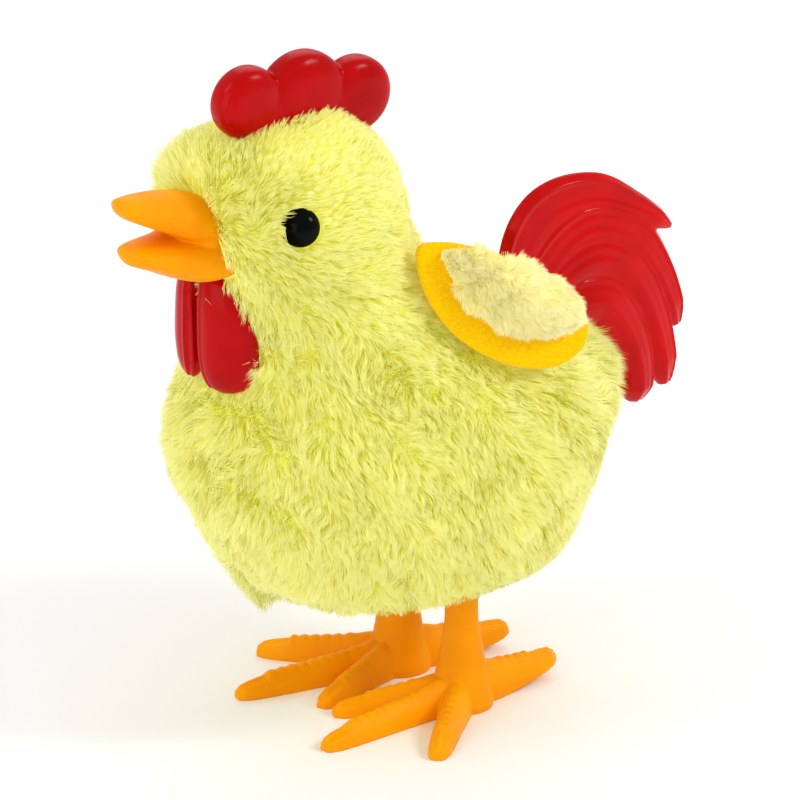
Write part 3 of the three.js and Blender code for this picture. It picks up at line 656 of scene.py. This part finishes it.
def make_eye(name, side):
    profile = [(1.1, -6.0), (1.1, -0.6), (2.7, -0.5), (EYE_RADIUS, -0.1)]
    steps = 14
    for k in range(steps):
        a = math.pi / 2 * k / steps
        profile.append((EYE_RADIUS * math.cos(a), 0.1 + EYE_DOME * math.sin(a)))
    axis = Vector((side * EYE_AXIS[0], EYE_AXIS[1], EYE_AXIS[2]))
    turn = Vector((0, 0, 1)).rotation_difference(axis)
    rings = []
    for radius, height in profile:
        ring = []
        for t in turns(48):
            p = turn @ Vector((radius * math.cos(t), radius * math.sin(t), height))
            ring.append((side * EYE[0] + p.x, EYE[1] + p.y, EYE[2] + p.z))
        rings.append(ring)
    eye = mesh_object(f"{name}_eye_dome", *loft(rings))
    outward(eye)
    return finish_piece(eye, EYE_BLACK, "body", "eye", f"{name}_eye")


# Wings
def wing_point(side, along, up, out):
    p = WING_FRONT + along * WING_ALONG + up * WING_UP + out * WING_NORMAL
    return (side * p[0], p[1], p[2])


def outline_plate(side, outline, layers, sag):
    """A plate over an outline: layers are (inset, height); sag bends it out of its plane."""
    rim = closed_spline(outline, 96)
    centre = rim.mean(0)
    normals = np.roll(rim, -1, 0) - np.roll(rim, 1, 0)
    normals = np.stack([normals[:, 1], -normals[:, 0]], 1)
    normals /= np.linalg.norm(normals, axis=1)[:, None]
    if ((rim - centre) * normals).sum() < 0:
        normals = -normals
    rings = []
    for inset, height in layers:
        ring = []
        for p, n in zip(rim, normals):
            a, u = p - n * inset if inset < 3 else centre + (p - centre) * max(0.0, 1 - inset / 7.0)
            ring.append(wing_point(side, a, u, height + sag(a, u)))
        rings.append(ring)
    return loft(rings)


def felt_sag(along, up):
    return 0.12 * math.sin(along * 0.45 + 0.6) + 0.1 * math.sin(up * 0.8)


def make_felt(name, side):
    layers = [(3.4, 0.05), (0.5, 0.02), (0.12, 0.18), (0.0, 0.5), (0.0, 1.1), (0.12, 1.42),
              (0.5, 1.56), (3.4, 1.56)]
    felt = mesh_object(f"{name}_wing_cloth", *outline_plate(side, FELT_OUTLINE, layers, felt_sag))
    outward(felt)
    finish_piece(felt, FELT, f"{name}_wing", "wing_felt", f"{name}_wing_felt")
    return felt


def make_pad(name, side):
    layers = [(1.2, 1.75), (0.3, 1.95), (0.2, 2.6), (0.9, 3.5), (2.0, 4.1), (3.4, 4.4),
              (5.0, 4.5), (6.2, 4.5)]
    pad = mesh_object(f"{name}_wing_pad", *outline_plate(side, PAD_OUTLINE, layers, felt_sag))
    outward(pad)
    # Painted light: the pad under the pile is coloured paler than the hair roots, to lift the shade between the
    # hairs
    paint_hair(pad, PAD_PAINTED_LIGHT_SHARE)
    finish_piece(pad, WING_PLUSH, f"{name}_wing", "wing_plush", f"{name}_wing_plush")


def paint_hair(piece, along):
    """Cloth under the pile takes the colour of hair at that share of its length; a share past the roots paints it
    paler, as light in the gaps between the hairs.
    """
    colour = piece.data.color_attributes.new("hair", "FLOAT_COLOR", "POINT")
    count = len(piece.data.vertices)
    colour.data.foreach_set("color", np.tile([along, 0.0, 0.0, 1.0], count).astype(np.float32))


# Legs: ridged toes with smooth nails, a flared ankle with a cuff, and a side spur
TOE_OUT = 7
TOES = [
    (TOE_OUT, 24.8, 0.0, 1.0),
    (TOE_OUT + 39, 19.8, 0.0, 1.0),
    (TOE_OUT - 27, 18.0, 0.0, 1.0),
    (TOE_OUT + 180, 16.5, 1.8, 1.15),
]
SCUTE = 1.55
NAIL = 4.6


def toe(angle, length, lift, bulk, across=36):
    turn = math.radians(angle)
    along = np.array([math.sin(turn), -math.cos(turn), 0])
    side = np.array([math.cos(turn), math.sin(turn), 0])
    nail = length - NAIL
    stations = [
        (0, 2.1, 5.4), (4.5, 2.1, 4.6), (7.5, 1.95, 3.8), ((7.5 + nail) / 2, 1.85, 3.3),
        (nail, 1.75, 2.9), (length - 2.4, 1.6, 2.5), (length - 1.0, 1.3, 2.1),
        (length - 0.2, 0.8, 1.4),
    ]
    reach = [s[0] for s in stations]
    rings = []
    for s in np.arange(0, length, 0.16):
        half = np.interp(s, reach, [q[1] for q in stations]) * bulk
        tall = np.interp(s, reach, [q[2] for q in stations]) * bulk
        rise = lift * max(0.0, (s - 5) / (length - 5)) ** 1.5
        ring = []
        for t in turns(across):
            u, v = math.cos(t), math.sin(t)
            u = puff(u, 0.8)
            top = max(0.0, v) ** 0.7
            width = 1.0 - 0.3 * max(0.0, v) ** 2
            crest = 0.0
            if 6.0 < s < nail - 0.3:
                wave = abs(math.sin(math.pi * s / SCUTE)) ** 0.5
                crest = 0.42 * (wave - 0.25) * math.exp(-(u / 0.6) ** 4)
            elif s >= nail:
                crest = -0.22 + 0.2 * math.cos(u * 7.0)
            z = rise + (tall + crest) * top if v > 0 else rise
            ring.append(along * s + side * (u * half * width) + np.array([0, 0, z]))
        rings.append(ring)
    return loft(rings)


ANKLE = [
    (4.3, 0.0), (4.5, 0.9), (4.05, 2.6), (3.6, 4.6), (3.3, 6.3), (3.18, 6.5), (3.22, 6.75),
    (2.95, 8.4), (2.5, 10.2), (2.28, 11.6), (2.2, 13.0), (2.15, 16.0), (2.15, 19.6),
]


def make_leg(name, side):
    bodies = [toe(*t) for t in TOES]
    rings = []
    for radius, z in ANKLE:
        ring = []
        for t in turns(40):
            c, s = math.cos(t), math.sin(t)
            square = 2.0 if z < 10 else 2.3
            grow = (abs(c) ** square + abs(s) ** square) ** (-1 / square)
            ring.append((radius * c * grow, radius * s * grow, z))
        rings.append(ring)
    bodies.append(loft(rings))
    bodies.append(tube([(-1.4, y, 15.0) for y in (0.0, 1.0, 2.2, 2.9, 3.1)],
                       [1.5, 1.5, 1.4, 1.3, 0.8], 20))
    placed = []
    for points, faces in bodies:
        moved = [(side * (p[0] + FOOT_X), p[1], p[2]) for p in points]
        placed.append((moved, faces))
    foot = moulded(f"{name}_leg_moulding", placed, 0.17, 1)
    ground(foot)
    keep_upper_leg(foot, f"{name}_leg")
    return finish_piece(foot, ORANGE, f"{name}_leg", "orange_plastic", f"{name}_leg")


def ground(piece):
    """The sole is flat on the ground."""
    count = len(piece.data.vertices)
    places = np.empty(count * 3, np.float32)
    piece.data.vertices.foreach_get("co", places)
    places = places.reshape(-1, 3)
    places[:, 2] = np.where(places[:, 2] < 0.12 * MM, 0.0, places[:, 2])
    piece.data.vertices.foreach_set("co", places.ravel())
    piece.data.update()


BLADE_Z = 19.0


def keep_upper_leg(piece, node):
    """Adds the frame's own blade and yoke, above the moulded ankle."""
    bm = bmesh.new()
    bm.from_mesh(frame["nodes"][node].data)
    cut = bmesh.ops.bisect_plane(bm, geom=bm.verts[:] + bm.edges[:] + bm.faces[:],
                                 plane_co=(0, 0, BLADE_Z * MM), plane_no=(0, 0, -1), clear_outer=True)
    edges = [e for e in cut["geom_cut"] if isinstance(e, bmesh.types.BMEdge)]
    bmesh.ops.holes_fill(bm, edges=edges)
    bm.from_mesh(piece.data)
    bm.to_mesh(piece.data)
    bm.free()
    piece.data.shade_smooth()


# Winding knob
def make_knob():
    y, z = ARBOR
    hub = []
    for x, radius in [(-20.8, 2.7), (-21.1, 3.1), (-21.6, 3.3),
                      (-25.2, 3.3), (-25.8, 3.0), (-26.1, 2.4)]:
        hub.append([(x, y + radius * math.cos(t), z + radius * math.sin(t))
                    for t in turns(40)])
    paddle = []
    for x, grow in [(-24.6, 0.9), (-25.2, 1.0), (-29.6, 1.0), (-30.2, 0.9), (-30.5, 0.7)]:
        ring = []
        for t in turns(48):
            c, s = math.cos(t), math.sin(t)
            ring.append((x, y + 1.35 * grow * puff(c, 0.6),
                         z + (5.3 - 1.2 * (1 - grow)) * puff(s, 0.6)))
        paddle.append(ring)
    knob = moulded("winding_key", [loft(hub), loft(paddle)], 0.16, 3)
    return finish_piece(knob, KNOB, "winder", "knob", "winding_knob")


# Body surface
def body_section(z):
    """Centre Y, half length and half width at heights, smooth through the rows of BODY."""
    z = np.clip(np.asarray(z, float), BODY_BOTTOM, BODY_TOP)
    i = np.clip(np.searchsorted(BODY[:, 0], z, "right") - 1, 0, len(BODY) - 2)
    a, b = BODY[i], BODY[i + 1]
    before, after = BODY[np.maximum(i - 1, 0)], BODY[np.minimum(i + 2, len(BODY) - 1)]
    gap = (b[:, 0] - a[:, 0])[:, None]
    t = ((z - a[:, 0]) / gap[:, 0])[:, None]
    m0 = (b - before) / (b[:, :1] - before[:, :1]) * gap
    m1 = (after - a) / (after[:, :1] - a[:, :1]) * gap
    rows = ((2 * t ** 3 - 3 * t ** 2 + 1) * a + (t ** 3 - 2 * t ** 2 + t) * m0
            + (3 * t ** 2 - 2 * t ** 3) * b + (t ** 3 - t ** 2) * m1)
    return rows[:, 1], rows[:, 2], rows[:, 3]


def body_point(z, t):
    z, t = np.asarray(z, float), np.asarray(t, float)
    cy, a, b = body_section(z)
    square = 2.5 - 0.5 * np.clip((z - 40) / 20, 0, 1)
    c, q = np.cos(t), np.sin(t)
    grow = (np.abs(c) ** square + np.abs(q) ** square) ** (-1 / square)
    return np.stack([b * c * grow, cy + a * q * grow, z], 1)


def body_normal(z, t):
    """Outward normals, and the surface area that a step of height and turn covers."""
    low, high = np.maximum(z - 0.3, BODY_BOTTOM), np.minimum(z + 0.3, BODY_TOP)
    rise = body_point(high, t) - body_point(low, t)
    around = body_point(z, t + 0.01) - body_point(z, t - 0.01)
    n = np.cross(around, rise)
    size = np.linalg.norm(n, axis=1)
    area = size / (high - low) / 0.02
    return n / size[:, None], area


def unit(v):
    return v / np.maximum(np.linalg.norm(v, axis=-1, keepdims=True), 1e-9)


def skin_depth(z):
    return ROOT_DEPTH - 1.4 * np.clip(1 - (z - BODY_BOTTOM) / 8, 0, 1)


def window_distance(points):
    """Under 1 inside the oval opening for the legs."""
    half_x, half_y, middle_y = LEG_WINDOW
    return (points[..., 0] / half_x) ** 2 + ((points[..., 1] - middle_y) / half_y) ** 2


def make_backing():
    """The knitted backing under the pile, open round the legs and the knob."""
    levels, around = 90, 120
    v = np.linspace(0, 1, levels)
    heights = BODY_BOTTOM + 0.9 + (BODY_TOP - BODY_BOTTOM - 2.2) * (1 - (1 - v) ** 1.25)
    angles = turns(around)
    z, t = (g.ravel() for g in np.meshgrid(heights, angles, indexing="ij"))
    normal, _ = body_normal(z, t)
    ring = body_point(z, t) - normal * skin_depth(z)[:, None]
    floor_rings = []
    for share in (0.92, 0.84, 0.76, 0.68, 0.6, 0.5):
        edge = ring[:around]
        centre = edge.mean(0)
        floor_rings.append(centre + (edge - centre) * share)
    points = np.vstack(floor_rings[::-1] + [ring])
    rows = levels + len(floor_rings)
    faces = []
    for r in range(rows - 1):
        for i in range(around):
            j = (i + 1) % around
            face = (r * around + i, r * around + j, (r + 1) * around + j, (r + 1) * around + i)
            centre = points[list(face)].mean(0)
            in_window = centre[2] < BODY_BOTTOM + 3 and window_distance(centre) < 1.0
            knob = math.hypot(centre[1] - ARBOR[0], centre[2] - ARBOR[1]) < KNOB_CLEARANCE
            if not in_window and not (knob and centre[0] < 0):
                faces.append(face)
    faces.append(tuple((rows - 1) * around + i for i in range(around)))
    backing = mesh_object("plush_backing", points, faces)
    bm = bmesh.new()
    bm.from_mesh(backing.data)
    bmesh.ops.delete(bm, geom=[p for p in bm.verts if not p.link_faces], context="VERTS")
    arbor = to_frame([[0.0, *ARBOR]])[0]
    for vertex in bm.verts:
        across = Vector((0, vertex.co.y - arbor[1], vertex.co.z - arbor[2]))
        if vertex.is_boundary and vertex.co.x < arbor[0] and across.length < 8 * MM:
            across *= KNOB_HOLE * MM / across.length
            vertex.co.y, vertex.co.z = arbor[1] + across.y, arbor[2] + across.z
    bm.to_mesh(backing.data)
    bm.free()
    thick = backing.modifiers.new("thickness", "SOLIDIFY")
    thick.thickness = BACKING_THICKNESS * MM
    thick.offset = -1
    apply_modifiers(backing)
    # Painted light: the backing is coloured paler than the hair roots, to lift the shade between the hairs
    paint_hair(backing, BACKING_PAINTED_LIGHT_SHARE)
    return finish_piece(backing, PLUSH, "body", "plush", "plush_skin")


# Hair
rng = np.random.default_rng(7)


def wander(points, size, seed, terms=7):
    """A smooth random direction at each point, which turns over about that many millimetres."""
    source = np.random.default_rng(seed)
    out = np.zeros((len(points), 3))
    for _ in range(terms):
        wave = source.normal(size=3) * 2.2 / size
        shift = source.uniform(0, 2 * np.pi, 3)
        phase = points @ wave
        for axis in range(3):
            out[:, axis] += np.sin(phase + shift[axis])
    return out / math.sqrt(terms / 2)


def smooth_step(x, low, high):
    s = np.clip((x - low) / (high - low), 0, 1)
    return s * s * (3 - 2 * s)


def body_flow(points, normals):
    """The way the pile lies: back from the beak on the head, down and back on the body."""
    from_beak = unit(points - BEAK_BASE + np.array([0, 6.0, 0])) + np.array([0, 0.5, 0.2])
    down = np.tile([0.0, 0.22, -1.0], (len(points), 1))
    down[:, 0] += 0.25 * np.sign(points[:, 0]) * smooth_step(points[:, 2], 20, 45)
    rump = smooth_step(points[:, 1], 2, 22)[:, None]
    down += rump * np.array([0, 0.6, 0.15])
    head = smooth_step(points[:, 2], 58, 74)[:, None]
    crown = smooth_step(points[:, 2], 80, 90)[:, None]
    flow = down * (1 - head) + (from_beak + np.array([0, 0.35, -0.05])) * head
    flow += crown * np.array([0, 0.3, 0.5])
    flow += 0.18 * wander(points, 9.0, 11) + 0.36 * wander(points, 3.0, 12)
    flow += 0.28 * wander(points, 1.5, 13) + 0.22 * rng.normal(size=points.shape)
    flow -= normals * (flow * normals).sum(1, keepdims=True)
    return unit(flow)


def grow(roots, normals, flow, length, lean_start, lean_end):
    """Stations of each hair, from its root: (hairs, stations, 3)."""
    steps = STATIONS - 1
    path = [roots]
    for k in range(steps):
        lean = lean_start + (lean_end - lean_start) * (k + 0.5) / steps
        ahead = unit(normals * np.cos(lean)[:, None] + flow * np.sin(lean)[:, None])
        path.append(path[-1] + ahead * (length / steps)[:, None])
    return np.stack(path, 1)


def clump(paths, surface, leader_share, strength, seed):
    """Hairs gather towards their nearest leader, more and more towards the tip."""
    source = np.random.default_rng(seed)
    leaders = source.choice(len(paths), max(2, int(len(paths) * leader_share)), replace=False)
    tree = KDTree(len(leaders))
    for k, i in enumerate(leaders):
        tree.insert(surface[i], k)
    tree.balance()
    nearest = np.array([tree.find(p)[1] for p in surface])
    led = paths[leaders[nearest]]
    share = strength * (np.linspace(0, 1, STATIONS) ** 1.2)
    varied = share[None, :, None] * source.uniform(0.75, 1.1, (len(paths), 1, 1))
    return paths * (1 - varied) + led * varied, nearest


def solid_tree(piece):
    """A piece's points, in millimetres, and the search tree of its faces."""
    places = np.empty(len(piece.data.vertices) * 3, np.float32)
    piece.data.vertices.foreach_get("co", places)
    places = places.reshape(-1, 3) / MM - SHIFT
    return places, BVHTree.FromPolygons(
        [Vector(p) for p in places], [tuple(f.vertices) for f in piece.data.polygons])


def push_out(paths, obstacles, reach=0.3):
    """Moves hair points out of hard pieces, onto their surface."""
    for piece in obstacles:
        places, tree = solid_tree(piece)
        low, high = places.min(0) - reach, places.max(0) + reach
        flat = paths[:, 1:].reshape(-1, 3)
        for i in np.where(((flat > low) & (flat < high)).all(1))[0]:
            spot, normal, _, distance = tree.find_nearest(Vector(flat[i]))
            off = Vector(flat[i]) - spot
            if off.dot(normal) < 0 or distance < HAIR_CLEARANCE:
                flat[i] = spot + normal * HAIR_CLEARANCE
        paths[:, 1:] = flat.reshape(paths[:, 1:].shape)
    return paths


def inside(points, piece, deeper=0.0):
    """Which points lie inside a closed piece by more than that depth."""
    places, tree = solid_tree(piece)
    low, high = places.min(0), places.max(0)
    result = np.zeros(len(points), bool)
    for i in np.where(((points > low) & (points < high)).all(1))[0]:
        spot, normal, _, distance = tree.find_nearest(Vector(points[i]))
        result[i] = (Vector(points[i]) - spot).dot(normal) < 0 and distance > deeper
    return result


def clear_round_eye(paths):
    """Keeps the pile off each eye, apart from a fringe over its front edge."""
    for side in (1, -1):
        axis = EYE_AXIS * np.array([side, 1, 1])
        centre = EYE * np.array([side, 1, 1]) + np.array([0, 0.9, -0.1])
        off = paths - centre
        height = off @ axis
        across = off - height[..., None] * axis
        distance = np.linalg.norm(across, axis=-1)
        hit = (distance < EYE_CLEARANCE) & (height > -1.0) & (height < 8)
        outwards = across / np.maximum(distance, 0.3)[..., None]
        moved = centre + height[..., None] * axis + outwards * EYE_CLEARANCE
        paths = np.where(hit[..., None], moved, paths)
    return paths


def clear_round_knob(paths):
    across = paths[..., 1:] - np.array(ARBOR)
    distance = np.linalg.norm(across, axis=-1)
    hit = (distance < KNOB_CLEARANCE) & (paths[..., 0] < -20)
    moved = np.array(ARBOR) + across / np.maximum(distance, 0.3)[..., None] * KNOB_CLEARANCE
    paths = paths.copy()
    paths[..., 1:] = np.where(hit[..., None], moved, paths[..., 1:])
    return paths


def ribbon(left, right, tip):
    """Values at each hair's points, from those down its two edges and at its tip."""
    out = np.empty((len(left), 2 * left.shape[1] + 1) + left.shape[2:])
    out[:, 0:-1:2], out[:, 1:-1:2], out[:, -1] = left, right, tip
    return out


def hair_mesh(name, paths, normals, shades, width):
    """One mesh of tapered ribbons, each facing outwards, with softened normals."""
    count = len(paths)
    ahead = unit(np.gradient(paths, axis=1))
    surface = normals[:, None, :]
    side = unit(np.cross(ahead, surface))
    face = unit(np.cross(side, ahead))
    twist = rng.uniform(-0.9, 0.9, count)[:, None, None]
    side = side * np.cos(twist) + face * np.sin(twist)
    taper = np.array([0.9, 1.0, 0.7])[None, :, None]
    half = 0.5 * width * rng.uniform(0.75, 1.25, count)[:, None, None] * taper
    per = 2 * (STATIONS - 1) + 1
    points = ribbon(paths[:, :-1] - side[:, :-1] * half, paths[:, :-1] + side[:, :-1] * half,
                    paths[:, -1])
    soft = unit(face * 0.22 + surface * 0.85)
    vertex_normals = ribbon(soft[:, :-1], soft[:, :-1], soft[:, -1])
    quads = [(2 * k, 2 * k + 1, 2 * k + 3, 2 * k + 2) for k in range(STATIONS - 2)]
    corners = [c for q in quads for c in q] + [per - 3, per - 2, per - 1]
    loops = (np.arange(count)[:, None] * per + np.array(corners)[None, :]).ravel()
    sizes = np.tile([4] * len(quads) + [3], count)
    mesh = bpy.data.meshes.new(name)
    mesh.vertices.add(count * per)
    mesh.vertices.foreach_set("co", to_frame(points.reshape(-1, 3)).astype(np.float32).ravel())
    mesh.loops.add(len(loops))
    mesh.loops.foreach_set("vertex_index", loops.astype(np.int32))
    mesh.polygons.add(len(sizes))
    starts = np.concatenate([[0], np.cumsum(sizes)[:-1]])
    mesh.polygons.foreach_set("loop_start", starts.astype(np.int32))
    mesh.update(calc_edges=True)
    mesh.shade_smooth()
    mesh.normals_split_custom_set_from_vertices(vertex_normals.reshape(-1, 3).tolist())
    along = np.tile(np.linspace(0, 1, STATIONS)[:-1], (count, 1))
    colours = np.zeros((count, per, 4))
    colours[..., 0] = ribbon(along, along, 1.0)
    colours[..., 1] = shades[:, None]
    colours[..., 3] = 1.0
    layer = mesh.color_attributes.new("hair", "FLOAT_COLOR", "POINT")
    layer.data.foreach_set("color", colours.astype(np.float32).ravel())
    piece = bpy.data.objects.new(name, mesh)
    bpy.context.scene.collection.objects.link(piece)
    return piece


MOST_AREA = 80.0


def sample_body(count):
    """Heights and turns spread evenly over the body's surface."""
    heights, turns = [], []
    found = 0
    while found < count:
        z = rng.uniform(BODY_BOTTOM, BODY_TOP - 0.2, count)
        t = rng.uniform(0, 2 * np.pi, count)
        _, area = body_normal(z, t)
        keep = rng.uniform(0, MOST_AREA, count) < area
        heights.append(z[keep])
        turns.append(t[keep])
        found += keep.sum()
    return np.concatenate(heights)[:count], np.concatenate(turns)[:count]


def body_hair(hard, felts, eyes):
    """The body's pile: paths, normals, surface points and shades, with its tufts and hems."""
    z, t = sample_body(BODY_STRANDS)
    surface = body_point(z, t)
    normals, _ = body_normal(z, t)
    brow = smooth_step(-surface[:, 1], 30, 36)
    brow *= smooth_step(z, 72, 80) * (1 - smooth_step(z, 86, 91))
    front_hem = smooth_step(-surface[:, 1], 16, 22) * (1 - smooth_step(z, 20, 25))
    front_hem *= np.exp(-((surface[:, 0] + 4.0) / 4.0) ** 2)
    back_top = smooth_step(surface[:, 1], -10, 0) * smooth_step(z, 54, 60)
    ring = 1 - smooth_step(np.linalg.norm(surface - BEAK_BASE, axis=1), 6.0, 12.0)
    back_tuft = smooth_step(surface[:, 1], 12, 20)
    back_tuft *= smooth_step(z, 38, 46) * (1 - smooth_step(z, 52, 58))
    surface = surface + normals * (1.0 * brow + 0.9 * back_tuft + 1.8 * front_hem)[:, None]
    roots = surface - normals * (skin_depth(z) + 0.15)[:, None]
    flow = body_flow(surface, normals)
    surface = surface + normals * 0.5 * ring[:, None]
    uneven = wander(surface, 6.0, 21)[:, 0]
    length = PILE_LENGTH * rng.uniform(0.78, 1.12, len(z)) * (1 + 0.1 * uneven)
    head = smooth_step(z, 60, 76)
    length *= 1 - 0.1 * head
    length *= 1 - 0.4 * smooth_step(z, 82, 90)
    length *= (1 - 0.5 * smooth_step(-z, -26, -20)) * (1 - 0.3 * back_top)
    length *= 1 + 0.35 * brow + 1.3 * front_hem + 0.35 * back_tuft
    length *= 1 - 0.35 * smooth_step(surface[:, 1], 0, 16) * smooth_step(-z, -48, -36)
    knob = np.hypot(surface[:, 1] - ARBOR[0], surface[:, 2] - ARBOR[1])
    length *= 1 - 0.4 * (1 - smooth_step(knob, 6.0, 9.0)) * (surface[:, 0] < 0)
    lift = 0.1 * wander(surface, 5.0, 22)[:, 1]
    lift += 0.3 * ring - 0.15 * brow
    lean_start = 0.32 + lift + rng.uniform(-0.2, 0.2, len(z))
    lean_end = 1.0 + lift + rng.uniform(-0.3, 0.3, len(z))
    paths = grow(roots, normals, flow, length, lean_start, lean_end)
    paths, leader = clump(paths, surface, 0.05, 0.48, 31)
    stray = np.linspace(0.5, 1.3, STATIONS - 1)[None, :, None]
    paths[:, 1:] += rng.normal(0, 0.09, (len(z), STATIONS - 1, 3)) * stray
    keep = np.ones(len(z), bool)
    for piece in hard:
        keep &= ~inside(roots, piece)
        keep &= ~inside(surface, piece, 0.9)
    for side in (1, -1):
        off = roots - EYE * np.array([side, 1, 1])
        axis = EYE_AXIS * np.array([side, 1, 1])
        height = off @ axis
        across = np.linalg.norm(off - height[:, None] * axis, axis=1)
        keep &= ~((across < EYE_BARE) & (height > -5))
    keep &= ~((knob < KNOB_BARE) & (surface[:, 0] < 0))
    paths, normals, surface, leader = paths[keep], normals[keep], surface[keep], leader[keep]
    paths = clear_round_eye(paths)
    paths = clear_round_knob(paths)
    paths = push_out(paths, hard + felts + eyes)
    shade_of = np.random.default_rng(41).uniform(0, 0.45, leader.max() + 1)
    shades = shade_of[leader] * 0.7 + rng.uniform(0, 0.22, len(paths))
    # Painted light: the hair grows paler towards the rump, for the brighter light that falls on the back
    shades += 0.25 * smooth_step(surface[:, 1], 4, 22)
    return paths, normals, surface, shades


def belly_hair():
    """Short pile under the belly, which hangs from the rim of the leg window outwards."""
    t = rng.uniform(0, 2 * np.pi, BELLY_STRANDS * 2)
    share = np.sqrt(rng.uniform(0, 1, len(t)))
    edge = body_point(np.full(len(t), BODY_BOTTOM), t)
    centre = np.array([0, BODY[0, 1], BODY_BOTTOM])
    surface = centre + (edge - centre) * share[:, None]
    surface = surface[window_distance(surface) > 1.02][:BELLY_STRANDS]
    outwards = unit(surface - centre)
    normals = unit(outwards * 0.3 + np.array([0, 0, -1.0]))
    roots = surface + np.array([0, 0, 1.3])
    flow = unit(outwards * np.array([1, 1, 0]) + 0.5 * wander(surface, 4.0, 51))
    length = rng.uniform(1.3, 2.1, len(roots))
    paths = grow(roots, normals, flow, length, np.full(len(roots), 0.3), np.full(len(roots), 1.5))
    paths, _ = clump(paths, surface, 0.05, 0.6, 32)
    return paths, normals, surface, rng.uniform(0, 0.4, len(paths))


def make_body_fur(hard, felts, eyes):
    sets = [body_hair(hard, felts, eyes), belly_hair()]
    paths, normals, surface, shades = (np.concatenate([s[k] for s in sets]) for k in range(4))
    order = np.argsort(surface[:, 2], kind="stable")
    bands = math.ceil(len(order) / STRANDS_PER_PIECE)
    for k, band in enumerate(np.array_split(order, bands)):
        fur = hair_mesh(f"plush_pile_{k + 1}", paths[band], normals[band], shades[band], STRAND_WIDTH)
        finish_piece(fur, PLUSH, "body", "plush")


def make_wing_fur(name, side, felt):
    """Short pile over a wing's pad, spread inside its outline."""
    rim = closed_spline(PAD_OUTLINE, 96)
    low, high = rim.min(0), rim.max(0)
    spots = rng.uniform(low, high, (WING_STRANDS * 3, 2))
    polygon = np.vstack([rim, rim[:1]])
    x, y = spots[:, 0], spots[:, 1]
    within = np.zeros(len(spots), bool)
    for (x0, y0), (x1, y1) in zip(polygon[:-1], polygon[1:]):
        crosses = (y0 > y) != (y1 > y)
        within ^= crosses & (x < (x1 - x0) * (y - y0) / (y1 - y0 + 1e-12) + x0)
    spots = spots[within][:WING_STRANDS]
    distance = np.sqrt(((spots[:, None] - rim[None]) ** 2).sum(2)).min(1)
    centre = rim.mean(0)
    edge = np.exp(-distance / 1.1)
    height = 2.0 + 2.1 * (1 - np.exp(-distance / 1.2))
    roots = np.array([wing_point(side, a, u, h) for (a, u), h in zip(spots, height)])
    plane = [np.array([side, 1, 1]) * v for v in (WING_ALONG, WING_UP, WING_NORMAL)]
    away = (spots - centre) / np.linalg.norm(spots - centre, axis=1)[:, None]
    normals = unit(plane[2] + edge[:, None] * 0.8 * (away[:, :1] * plane[0] + away[:, 1:] * plane[1]))
    flow = unit(plane[0] * 0.7 + 0.6 * away[:, 1:] * plane[1] + 0.35 * away[:, :1] * plane[0]
                + 0.4 * wander(roots, 4.0, 61) + 0.4 * wander(roots, 1.6, 63)
                + 0.25 * rng.normal(size=roots.shape))
    length = rng.uniform(1.9, 3.0, len(roots)) * (1 - 0.35 * edge)
    lean = rng.uniform(-0.15, 0.15, len(roots))
    paths = grow(roots, normals, flow, length, 0.5 + lean, 1.15 + lean)
    paths, _ = clump(paths, roots, 0.09, 0.42, 62)
    paths = push_out(paths, [felt])
    shades = rng.uniform(0, 0.5, len(paths))
    fur = hair_mesh(f"{name}_wing_pile", paths, normals, shades, STRAND_WIDTH * 0.9)
    finish_piece(fur, WING_PLUSH, f"{name}_wing", "wing_plush")


# Frame nodes that stay take their materials from their slots
def dress_frame():
    by_slot = {"shell_plastic": SHELL, "plate_plastic": PLATE, "gear_plastic": NYLON, "steel": STEEL,
               "spring_steel": SPRING, "knob": KNOB, "red_plastic": RED, "orange_plastic": ORANGE,
               "eye": EYE_BLACK, "wing_felt": FELT, "plush": PLUSH, "wing_plush": WING_PLUSH}
    slot_of = {s["node"]: s["material_slot"] for s in frame["record"]["subparts"]}
    for name, node in frame["nodes"].items():
        if node.hide_render:
            continue
        node.data.materials.clear()
        node.data.materials.append(by_slot[slot_of[name]])


make_stage()
SIDES = (("left", 1), ("right", -1))
felts = [make_felt(*side) for side in SIDES]
hard_pieces = [make_comb(), make_tail(), make_beak(), make_wattle()]
eyes = [make_eye(*side) for side in SIDES]
for build in (make_pad, make_leg):
    for side in SIDES:
        build(*side)
make_knob()
make_backing()
make_body_fur(hard_pieces, felts, eyes)
for side, felt in zip(SIDES, felts):
    make_wing_fur(*side, felt)
dress_frame()
